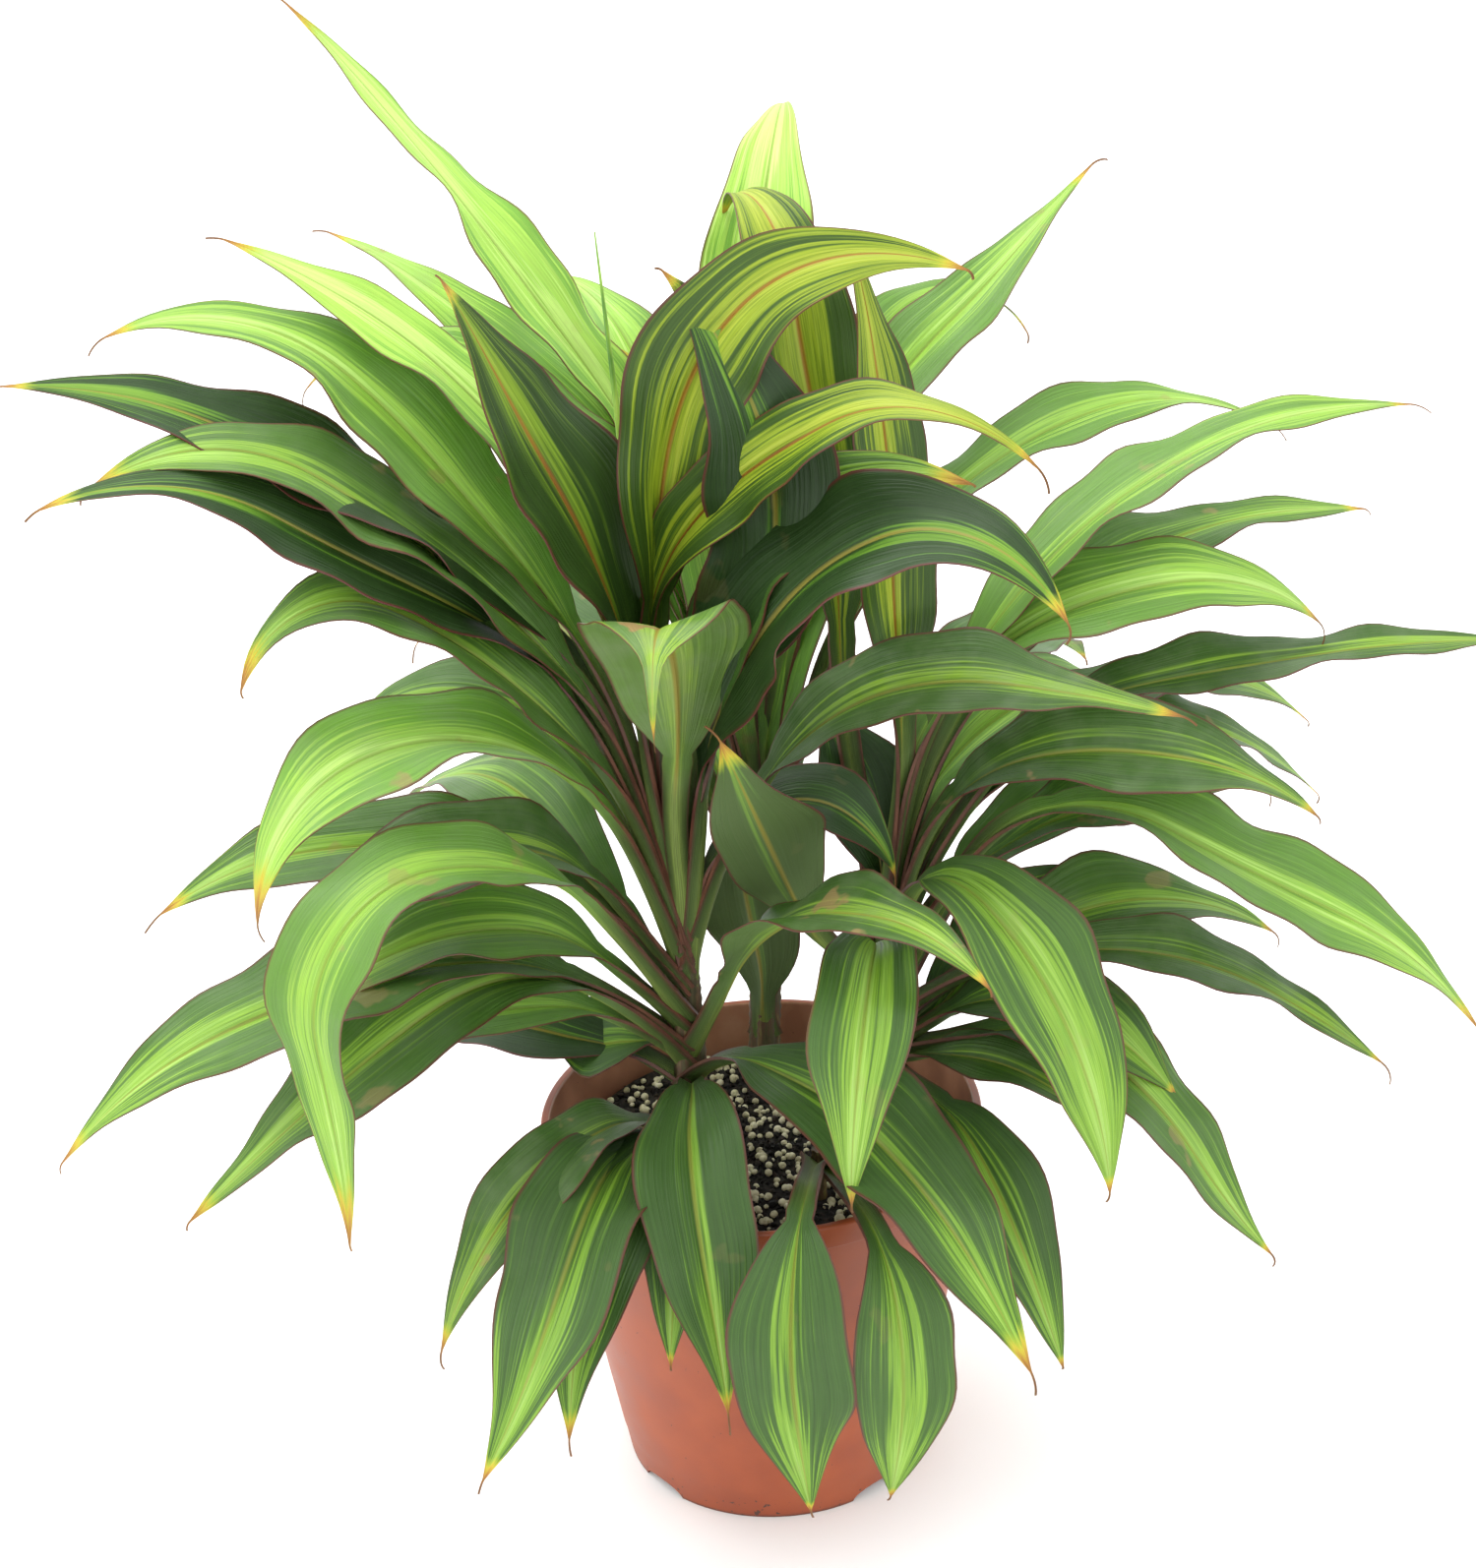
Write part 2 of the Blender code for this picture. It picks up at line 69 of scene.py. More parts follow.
NOTCH_WIDTH = 32
NOTCH_HEIGHT = 7
NOTCH_SIDES = 48
DRAIN_RADIUS = 5
DRAIN_SIDES = 32
POT_SIDES = 144
SOIL_TOP = 190

# Sizes of the pot's marks: clouds of wear, specks and splashes of soil, the dirt line and the grain
CLOUD_SIZE = 35
SPECK_SIZE = 4
SPLASH_HEIGHT = 25
DIRT_LINE = (0.4, 3)
GRAIN_SIZE = 1.2
GRAIN_DEPTH = 0.3


def linear(hex_colour):
    """Linear colour with alpha from an sRGB hex value."""
    parts = [int(hex_colour[i:i + 2], 16) / 255 for i in (1, 3, 5)]
    return tuple(p / 12.92 if p <= 0.04045 else ((p + 0.055) / 1.055) ** 2.4 for p in parts) + (1,)


def new_material(name):
    """Material with a lone Principled shader, and its node tree and shader."""
    material = bpy.data.materials.new(name)
    material.use_nodes = True
    tree = material.node_tree
    return material, tree, tree.nodes["Principled BSDF"]


def add_node(tree, kind, inputs=None, **settings):
    """One node with its settings, its inputs linked where they are sockets and else set."""
    made = tree.nodes.new(kind)
    for key, value in settings.items():
        setattr(made, key, value)
    for key, value in (inputs or {}).items():
        if isinstance(value, bpy.types.NodeSocket):
            tree.links.new(value, made.inputs[key])
        else:
            made.inputs[key].default_value = value
    return made


def object_place(tree):
    """Place on the object, in metres."""
    return add_node(tree, "ShaderNodeTexCoord").outputs["Object"]


def noise(tree, place, scale, detail):
    """Noise from 0 to 1, mostly near 0.5."""
    inputs = {"Vector": place, "Scale": scale, "Detail": detail}
    return add_node(tree, "ShaderNodeTexNoise", inputs).outputs["Fac"]


def worked(tree, operation, *values, use_clamp=False):
    """What a maths node makes of its values."""
    inputs = dict(enumerate(values))
    return add_node(tree, "ShaderNodeMath", inputs, operation=operation, use_clamp=use_clamp).outputs[0]


def spread(tree, value, start, end, low=0.0, high=1.0):
    """A value taken from start..end to low..high and held beyond them."""
    inputs = {0: value, 1: start, 2: end, 3: low, 4: high}
    return add_node(tree, "ShaderNodeMapRange", inputs).outputs[0]


def mixed(tree, share, first, second):
    """The first colour where the share is 0, and the second where it is 1."""
    return add_node(tree, "ShaderNodeMix", {0: share, 6: first, 7: second}, data_type="RGBA").outputs[2]


def ramp(tree, value, stops):
    """Colour of a value between (place, hex colour) stops."""
    made = add_node(tree, "ShaderNodeValToRGB", {0: value})
    elements = made.color_ramp.elements
    while len(elements) < len(stops):
        elements.new(0.5)
    for element, (place, colour) in zip(elements, stops):
        element.position = place
        element.color = linear(colour)
    return made.outputs[0]


def bump(tree, height, strength, depth, **under):
    """Fine relief, its depth in millimetres, on the surface or on the relief under it."""
    inputs = {"Height": height, "Strength": strength, "Distance": depth * MM, **under}
    return add_node(tree, "ShaderNodeBump", inputs).outputs[0]


def deselect_all():
    """Leaves nothing selected, so that a tool works on one piece."""
    for thing in bpy.context.selected_objects:
        thing.select_set(False)


def pick(piece):
    """Makes a piece the one that the next tool works on."""
    deselect_all()
    piece.select_set(True)
    bpy.context.view_layer.objects.active = piece


def wall_line(height):
    """Outer radius of the tapering wall, below the step."""
    return FOOT_RADIUS + (RIM_RADIUS - COLLAR_DEPTH - STEP_DEPTH - FOOT_RADIUS) * height / POT_HEIGHT


def arc(radius, height, size, start, end, steps=6):
    """Points of a round edge in an outline, between two angles in degrees."""
    turns = [math.radians(start + (end - start) * step / steps) for step in range(steps + 1)]
    return [(radius + size * math.cos(turn), height + size * math.sin(turn)) for turn in turns]


def lathe(name, rings, sides):
    """Closed turned piece: a disc at the first (radius, height), drawn out ring by ring, then capped."""
    deselect_all()
    radius, height = rings[0]
    bpy.ops.mesh.primitive_circle_add(
        vertices=sides, radius=radius * MM, fill_type="NGON", location=(0, 0, height * MM)
    )
    piece = bpy.context.object
    piece.name = name
    bpy.ops.object.transform_apply(location=True, rotation=True, scale=True)
    bpy.ops.object.mode_set(mode="EDIT")
    bpy.ops.mesh.select_mode(type="EDGE")
    bpy.ops.mesh.select_all(action="SELECT")
    bpy.ops.mesh.region_to_loop()
    for wide, high in rings[1:]:
        bpy.ops.mesh.extrude_edges_move()
        bpy.ops.transform.resize(value=(wide / radius, wide / radius, 1), center_override=(0, 0, 0))
        bpy.ops.transform.translate(value=(0, 0, (high - height) * MM))
        radius, height = wide, high
    bpy.ops.mesh.edge_face_add()
    bpy.ops.mesh.select_all(action="SELECT")
    bpy.ops.mesh.normals_make_consistent(inside=False)
    bpy.ops.object.mode_set(mode="OBJECT")
    return piece


def cut(piece, cutter):
    """Cuts a shape out of a piece, and takes the cutter away."""
    modifier = piece.modifiers.new("cut", "BOOLEAN")
    modifier.operation = "DIFFERENCE"
    modifier.object = cutter
    pick(piece)
    bpy.ops.object.modifier_apply(modifier=modifier.name)
    bpy.data.objects.remove(cutter)


def smooth(piece, angle):
    """Smooth shading, with the edges over that angle in degrees kept sharp."""
    pick(piece)
    bpy.ops.object.shade_smooth_by_angle(angle=math.radians(angle))


roof = CHANNEL_HEIGHT + FLOOR_THICKNESS
under_collar = POT_HEIGHT - COLLAR_HEIGHT
cove_height = under_collar - COLLAR_COVE
lip_height = POT_HEIGHT - LIP_RADIUS
# The channel under the floor, the skirt, the outer wall with its step, the collar, the lip, the inner
# wall and the floor, from the axis outward and back to it
outline = [(FLOOR_RADIUS, 0), (FLOOR_RADIUS, CHANNEL_HEIGHT)]
outline += [(wall_line(CHANNEL_HEIGHT) - WALL, CHANNEL_HEIGHT), (FOOT_RADIUS - WALL, 0)]
outline += arc(FOOT_RADIUS - FOOT_BEVEL, FOOT_BEVEL, FOOT_BEVEL, -90, 0, 3)
outline += [(wall_line(STEP_HEIGHT), STEP_HEIGHT)]
outline += [(wall_line(STEP_HEIGHT) + STEP_DEPTH, STEP_HEIGHT + STEP_RISE)]
outline += [(wall_line(height) + STEP_DEPTH, height) for height in (*OUTER_RINGS, cove_height)]
outline += arc(wall_line(under_collar) + STEP_DEPTH + COLLAR_COVE, cove_height, -COLLAR_COVE, 0, -90, 3)
outline += arc(RIM_RADIUS - COLLAR_BEVEL, under_collar + COLLAR_BEVEL, COLLAR_BEVEL, -90, 0, 4)
outline += arc(RIM_RADIUS - LIP_RADIUS, lip_height, LIP_RADIUS, 0, 90)
outline += arc(wall_line(POT_HEIGHT) - WALL + LIP_RADIUS, lip_height, LIP_RADIUS, 90, 180)
outline += [(wall_line(height) - WALL, height) for height in (*INNER_RINGS, roof)]
outline += [(FLOOR_RADIUS - FLOOR_THICKNESS, roof), (FLOOR_RADIUS - FLOOR_THICKNESS, FLOOR_THICKNESS)]
pot = lathe("pot_shell", outline, POT_SIDES)
for number in range(NOTCH_COUNT):
    turn = math.radians(NOTCH_AZIMUTH + 360 / NOTCH_COUNT * number)
    deselect_all()
    bpy.ops.mesh.primitive_cylinder_add(
        vertices=NOTCH_SIDES, radius=MM, depth=8 * WALL * MM, rotation=(0, math.pi / 2, turn),
        location=(FOOT_RADIUS * MM * math.cos(turn), FOOT_RADIUS * MM * math.sin(turn), 0)
    )
    notch = bpy.context.object
    notch.scale = (NOTCH_HEIGHT, NOTCH_WIDTH / 2, 1)
    cut(pot, notch)
    turn += math.pi / NOTCH_COUNT
    middle = (FLOOR_RADIUS + FOOT_RADIUS) / 2 * MM
    deselect_all()
    bpy.ops.mesh.primitive_cylinder_add(
        vertices=DRAIN_SIDES, radius=DRAIN_RADIUS * MM, depth=4 * FLOOR_THICKNESS * MM,
        location=(middle * math.cos(turn), middle * math.sin(turn), CHANNEL_HEIGHT * MM)
    )
    cut(pot, bpy.context.object)
smooth(pot, angle=35)

# Injection-moulded polypropylene in clay red: an even satin skin with faint cloudy wear outside,
# soil splashes and a dirt line by the floor, and a pale film of dried salts inside the rim.
clay_red, tree, shader = new_material("clay_red_polypropylene")
place = object_place(tree)
east, north, high = add_node(tree, "ShaderNodeSeparateXYZ", {0: place}).outputs
level = add_node(tree, "ShaderNodeCombineXYZ", {0: east, 1: north}).outputs[0]
radius = add_node(tree, "ShaderNodeVectorMath", {0: level}, operation="LENGTH").outputs["Value"]
clouds = noise(tree, place, 1 / (CLOUD_SIZE * MM), 4)
skin = ramp(tree, clouds, [(0.3, "#8b3e1e"), (0.5, "#954522"), (0.75, "#a04f2a")])
# The film inside the rim, wherever the wall is nearer to the axis than its outer face
wall_slope = (RIM_RADIUS - COLLAR_DEPTH - FOOT_RADIUS) / POT_HEIGHT
wall_middle = (FOOT_RADIUS - WALL / 2 - FOOT_BEVEL) * MM
inside = worked(tree, "LESS_THAN", radius, worked(tree, "MULTIPLY_ADD", high, wall_slope, wall_middle))
film = ramp(tree, clouds, [(0.35, "#8a5a44"), (0.6, "#a9745a"), (0.8, "#b98a70")])
coat = mixed(tree, inside, skin, film)
# The dirt line, darkest at the floor, and splashed specks of soil that thin out above it
specks = noise(tree, place, 1 / (SPECK_SIZE * MM), 3)
splashed = worked(tree, "GREATER_THAN", specks, spread(tree, high, 0.0, SPLASH_HEIGHT * MM, 0.62, 0.74))
line = spread(tree, high, DIRT_LINE[0] * MM, DIRT_LINE[1] * MM, 0.75, 0.0)
colour = mixed(tree, worked(tree, "MAXIMUM", splashed, line), coat, linear("#4a2f22"))
tree.links.new(colour, shader.inputs["Base Color"])
tree.links.new(spread(tree, clouds, 0.3, 0.7, 0.38, 0.52), shader.inputs["Roughness"])
relief = bump(tree, noise(tree, place, 1 / (GRAIN_SIZE * MM), 2), 0.08, GRAIN_DEPTH)
tree.links.new(relief, shader.inputs["Normal"])
pot.data.materials.clear()
pot.data.materials.append(clay_red)
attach(pot, "root")
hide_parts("pot")

# Potting mix: black peat that fills the pot to 30 mm below its rim, loosely tipped in and watered, so
# its top is crumbly. It is a turned plug, roughened on top, and the canes go down into it.
# Each cane has its foot, its tip, the height of its top and its radius.
CANES = {
    "stem_left": ((-40, 0), (-37, 0), 345, 9.5),
    "stem_right": ((62, 15), (74, 18), 308, 9.0),
    "stem_middle": ((4, 75), (8, 82), 338, 9.5),
    "shoot_front": ((30, -45), (31, -47), 222, 5.0),
}
GAP = 0.3
SOIL_RELIEF = 2.2
SOIL_RIPPLES = (21, 26)
SOIL_ROUGHNESS = 0.9
SOIL_SMOOTH_EDGE = 3
SOIL_RINGS = 44
PEAT_GRAIN = 5
PEAT_DEPTH = 2
chance = np.random.default_rng(11)


def soil_height(x, y):
    """Top of the mix without its crumbs, in millimetres."""
    across, along = SOIL_RIPPLES
    return SOIL_TOP + SOIL_RELIEF * math.sin(x / across + 1) * math.cos(y / along)


soil_edge = wall_line(SOIL_TOP) - WALL - GAP - SOIL_RELIEF
channel_wall = FLOOR_RADIUS - FLOOR_THICKNESS - GAP
outline = [(channel_wall, FLOOR_THICKNESS + GAP), (channel_wall, roof + GAP)]
outline += [(wall_line(roof) - WALL - GAP, roof + GAP)]
outline += [(soil_edge * ring / SOIL_RINGS, SOIL_TOP) for ring in range(SOIL_RINGS, 0, -1)]
soil = lathe("potting_mix", outline, POT_SIDES)
for corner in soil.data.vertices:
    x, y, z = corner.co / MM
    if z > SOIL_TOP - 1:
        from_edge = soil_edge - math.hypot(x, y)
        crumb = chance.normal(0, SOIL_ROUGHNESS) * min(1, from_edge / SOIL_SMOOTH_EDGE)
        corner.co.z = (soil_height(x, y) + crumb) * MM
smooth(soil, angle=60)

peat, tree, shader = new_material("moist_black_peat")
crumbs = noise(tree, object_place(tree), 1 / (PEAT_GRAIN * MM), 6)
earth = ramp(tree, crumbs, [(0.35, "#0e0b09"), (0.55, "#1f1812"), (0.72, "#3a2c20")])
tree.links.new(earth, shader.inputs["Base Color"])
shader.inputs["Roughness"].default_value = 0.9
tree.links.new(bump(tree, crumbs, 0.8, PEAT_DEPTH), shader.inputs["Normal"])
soil.data.materials.clear()
soil.data.materials.append(peat)
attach(soil, "root")
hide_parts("soil")

# Crumbs and beads: loose peat crumbs and round cream beads of slow-release feed and perlite, 2 to 6 mm
# across, strewn over the mix. One grain of each kind is modelled and copied to its places.
# How far the grains keep from the rim and the canes, and how far they are turned, in radians
CLEAR_OF_RIM = 4
CLEAR_OF_CANES = 3
GRAIN_SPIN = 6.28
GRAIN_LEAN = 1
BEAD_MOTTLING = 6


def strewn(name, subdivisions, count, sizes, squash, rough, sunk, material):
    """One piece of many grains lying on the mix, clear of the canes."""
    deselect_all()
    bpy.ops.mesh.primitive_ico_sphere_add(subdivisions=subdivisions, radius=1, location=(0, 0, 0))
    grain = bpy.context.object
    grain.name = name
    corners = np.array([corner.co for corner in grain.data.vertices])
    faces = np.array([face.vertices for face in grain.data.polygons])
    all_corners, all_faces = [], []
    for number in range(count):
        while True:
            turn = chance.uniform(0, 2 * math.pi)
            reach = math.sqrt(chance.uniform(0, 1)) * (soil_edge - CLEAR_OF_RIM)
            x, y = reach * math.cos(turn), reach * math.sin(turn)
            apart = [math.dist((x, y), foot) - thick for foot, _, _, thick in CANES.values()]
            if min(apart) > CLEAR_OF_CANES:
                break
        size = chance.uniform(*sizes) / 2
        shape = corners * (1 + chance.normal(0, rough, (len(corners), 1)))
        shape = shape * size * np.array([chance.uniform(squash, 1), 1, chance.uniform(squash, 1)])
        spin = Matrix.Rotation(chance.uniform(0, GRAIN_SPIN), 3, "Z")
        spin = spin @ Matrix.Rotation(chance.uniform(-GRAIN_LEAN, GRAIN_LEAN), 3, "X")
        shape = shape @ np.array(spin) + np.array([x, y, soil_height(x, y) + size * sunk])
        all_faces.append(faces + len(corners) * number)
        all_corners.append(shape)
    mesh = bpy.data.meshes.new(name)
    mesh.from_pydata(np.concatenate(all_corners) * MM, [], np.concatenate(all_faces))
    mesh.materials.append(material)
    grain.data = mesh
    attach(grain, "root")
    return grain


strewn("peat_crumbs", 1, 2600, (1.5, 5.5), 0.5, 0.22, 0.4, peat)
perlite, tree, shader = new_material("cream_feed_beads")
mottling = noise(tree, object_place(tree), 1 / (BEAD_MOTTLING * MM), 3)
cream = ramp(tree, mottling, [(0.3, "#9a8f70"), (0.5, "#cfc6a4"), (0.7, "#e6dfc4")])
tree.links.new(cream, shader.inputs["Base Color"])
shader.inputs["Roughness"].default_value = 0.6
beads = strewn("feed_beads", 2, 900, (2.6, 5.4), 0.85, 0.02, 0.75, perlite)
smooth(beads, angle=60)

# Canes: stems as thick as a finger, grown up through the mix and wrapped in the sheaths of old leaf
# stalks. Each is a drawn-out rod, lobed where sheaths overlap, with a shallow ring every few mm.
CANE_DEPTH = 45
CANE_COLLAR = 5
CANE_TAPER = 0.25
CANE_SIDES = 32
SCAR_SPACING = 6
SCAR_DEPTH = 0.5
FIBRE_SIZE = 4
FIBRE_DRAW = 0.12

# Lobes round a cane: how many, the height over which they turn by a radian, and their depth in radii
SHEATH_LOBES = ((3, 21, 0.15), (7, -13, 0.07))


def along_cane(cane, height):
    """Middle of a cane at a height."""
    foot, tip, top, _ = CANES[cane]
    share = (height - SOIL_TOP) / (top - SOIL_TOP)
    return np.array([foot[0] + (tip[0] - foot[0]) * share, foot[1] + (tip[1] - foot[1]) * share, height])


bark, tree, shader = new_material("olive_cane_sheaths")
drawn = add_node(tree, "ShaderNodeMapping", {"Vector": object_place(tree), "Scale": (1, 1, FIBRE_DRAW)})
fibres = noise(tree, drawn.outputs[0], 1 / (FIBRE_SIZE * MM), 4)
wood = ramp(tree, fibres, [(0.3, "#33291d"), (0.45, "#4f4a2c"), (0.55, "#5d4230"), (0.7, "#7d7443")])
tree.links.new(wood, shader.inputs["Base Color"])
shader.inputs["Roughness"].default_value = 0.65
tree.links.new(bump(tree, fibres, 0.5, 1), shader.inputs["Normal"])
for name, (foot, tip, top, thick) in CANES.items():
    low = SOIL_TOP - CANE_DEPTH
    steps = round((top - low) / SCAR_SPACING) * 2
    rings = []
    for step in range(steps + 1):
        height = low + (top - low) * step / steps
        thinner = CANE_TAPER * max(height - SOIL_TOP - CANE_COLLAR, 0) / (top - SOIL_TOP)
        rings.append((thick * (1 - thinner) - SCAR_DEPTH * (step % 2), height))
    rod = lathe(name + "_cane", rings, CANE_SIDES)
    for corner in rod.data.vertices:
        turn = math.atan2(corner.co.y, corner.co.x)
        height = corner.co.z / MM
        lobes = 1 + sum(depth * math.cos(count * turn + height / rise) for count, rise, depth in SHEATH_LOBES)
        middle = along_cane(name, height)
        corner.co.x = corner.co.x * lobes + middle[0] * MM
        corner.co.y = corner.co.y * lobes + middle[1] * MM
    smooth(rod, angle=50)
    rod.data.materials.append(bark)
    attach(rod, "root")
    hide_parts(name)

# Leaves: each is a channelled stalk that clasps its cane and widens to a satin blade, folded along
# its midrib, waved at its margins and drawn out to a dry thread. Each is a grid laid along its
# midrib's curve, then given the thickness of a leaf, with a rib below and a thick stalk.

# Grid: length of a row, steps across and how they crowd at the midrib, and the phase between leaves
ROW_LENGTH = 6
ACROSS_STEPS = 16
MIDRIB_CROWDING = 1.25
GOLDEN_ANGLE = 2.4

# Stalk: its share of a leaf by how far below the cane's top the leaf grows, half its width with the
# flare towards the blade and the clasp round the cane, and how deep it is folded
STALK_SHARES = (0.38, 0.36, 0.27, 0.15)
STALK_DEPTHS = (0, 15, 50, 110)
STALK_HALF_WIDTH = 5.2
STALK_FLARE = 2
STALK_FOLD = 34
STALK_THICKNESS = 3.6
STALK_THINNING = 0.6
CLASP_SHARE = 0.16
CLASP_FLARE = 4.5
BASE_OFFSET = 0.45
FLATTENING_SHARES = (-0.07, 0.1)

# Blade: its outline, its folds in degrees at the stalk and beyond, and its rib and groove
BLADE_THICKNESS = 0.6
BLADE_WIDEST = 0.47
BLADE_POWER = 0.85
BLADE_FOLDS = (24, 8)
BLADE_FOLD_END = 0.9
BLADE_ARCH = 0.5
TAPER_SHARES = (0.5, 1.0)
TAPER = 0.4
TIP_HALF_WIDTH = 0.5
RIB_THICKNESS = 1.3
RIB_WIDTH = 0.07
GROOVE_DEPTH = 0.9
STRIP_SHARES = (0.78, 0.9)
STRIP_LOSS = 0.72

# Dry thread at the tip: its rows, its length, and how far it droops in radians
THREAD_ROWS = 5
THREAD_LENGTHS = (3, 17)
THREAD_DROOP = 0.2
THREAD_DROOPS = (0.4, 1.6)

# Turn about the midrib: degrees towards the light, and where along the leaf it and the row's turn start
LIGHT_TURN = 20
ROLL_SHARES = (0.1, 0.4)
TWIST_SHARES = (0.5, 0.9)

# Waves along a leaf: height, length in mm, how its start moves with the leaf's number, and how far the
# two margins are out of step. Sway and ripples are in mm, the twist in degrees, the rest in shares.
SWAY = (5, 310, 1, 0)
TWIST = (8, 230, 1.3, 0)
MARGIN_SWELL = (0.05, 78, 2.3, 1)
RIPPLE = (5, 112, 1, 2)
RIPPLE_SWELL = (0.3, 260, 2.9, 2)
RIPPLE_MEAN = 0.7
RIPPLE_POWER = 1.8
FLUTTER = (1.6, 47, 1.7, 4)
FLUTTER_POWER = 3

# Where the stripes lie: what the midrib, the margin, the tip and the base add to the lime field and
# over what shares, how far a vein moves outward along the blade, how much a line is drawn out, per
# millimetre, and how far apart the places are that leaves take in the pattern
LIME_AT_RIB = 0.045
LIME_AT_EDGE = -0.14
LIME_AT_TIP = 0.16
LIME_AT_BASE = 0.06
LIME_GAIN = 0.3
LIME_EDGE_SHARES = (0.05, 0.62)
LIME_TIP_SHARES = (0.5, 0.95)
LIME_BASE_SHARES = (0.0, 0.3)
VEIN_SLANT = 0.22
VEIN_FAN = 0.5
LINE_DRAW = 0.0003
PATTERN_PLACES = 40

# Where the stalk's colour ends, in shares of the blade, and how much of its dried share turns colour
STEM_SHARES = (-0.12, 0.04)
AGE_SHARE = 0.8

# Lines in a blade, broad, narrow and fine: scale, detail, and weight in the lime field
LINES = ((5, 1, 0.42), (19, 2, 0.5), (60, 3, 0.08))

# Patches of bloom and painted sheen, and the noise whose peaks are dry spots
BLOOM_AND_SHEEN_SIZE = 20
SPOT_SIZE = 35

# How a kind of leaf looks: share of lime stripes, how golden they are, how much painted shade
# darkens the blade (below zero, how much painted light brightens it), how much grey bloom and
# painted sheen it carries, and how red its midrib and margins are
LOOKS = {
    "fresh": (0.4, 0.1, 0.3, 0.1, 0.3),
    "light": (0.5, 0.05, -0.2, 0.35, 0.15),
    "bright": (0.66, 0.1, 0.1, 0.1, 0.2),
    "plain": (0.38, 0.1, -0.05, 0.45, 0.3),
    "dull": (0.3, 0.2, 0.0, 0.8, 0.4),
    "painted_shade": (0.22, 0.15, 0.85, 0.1, 0.5),
    "olive": (0.35, 0.7, 0.6, 0, 0.9),
    "gold": (0.65, 0.75, 0.15, 0, 0.9),
    "pale": (0.6, 0, -0.35, 0.6, 0.1),
    "sunlit": (0.85, 0.15, -0.45, 0.1, 0.1),
    "faded": (0.45, 0.4, -0.15, 1.5, 0.6),
}

# Colours from the least to the most lime, for a green leaf, a golden leaf, a leaf in painted shade and a leaf
# in painted sunlight
STRIPES = (
    [(0.0, "#3f6228"), (0.4, "#4d732e"), (0.46, "#5a8231"), (0.5, "#6c9836"), (0.52, "#83b03a"),
     (0.56, "#92c044"), (0.6, "#7fae40"), (0.64, "#9ac850"), (0.75, "#aed670")],
    [(0.0, "#334c14"), (0.43, "#405a14"), (0.47, "#647c16"), (0.52, "#96a41a"), (0.57, "#b2b824"),
     (0.6, "#8f9b1c"), (0.65, "#bebf30")],
    [(0.0, "#1b2f14"), (0.45, "#243f18"), (0.49, "#355c1e"), (0.52, "#4f7c22"), (0.6, "#76a02c")],
    [(0.0, "#7fb444"), (0.43, "#8cc24a"), (0.47, "#a0d252"), (0.52, "#bde664"), (0.6, "#a8d856"),
     (0.65, "#d0f084")],
)

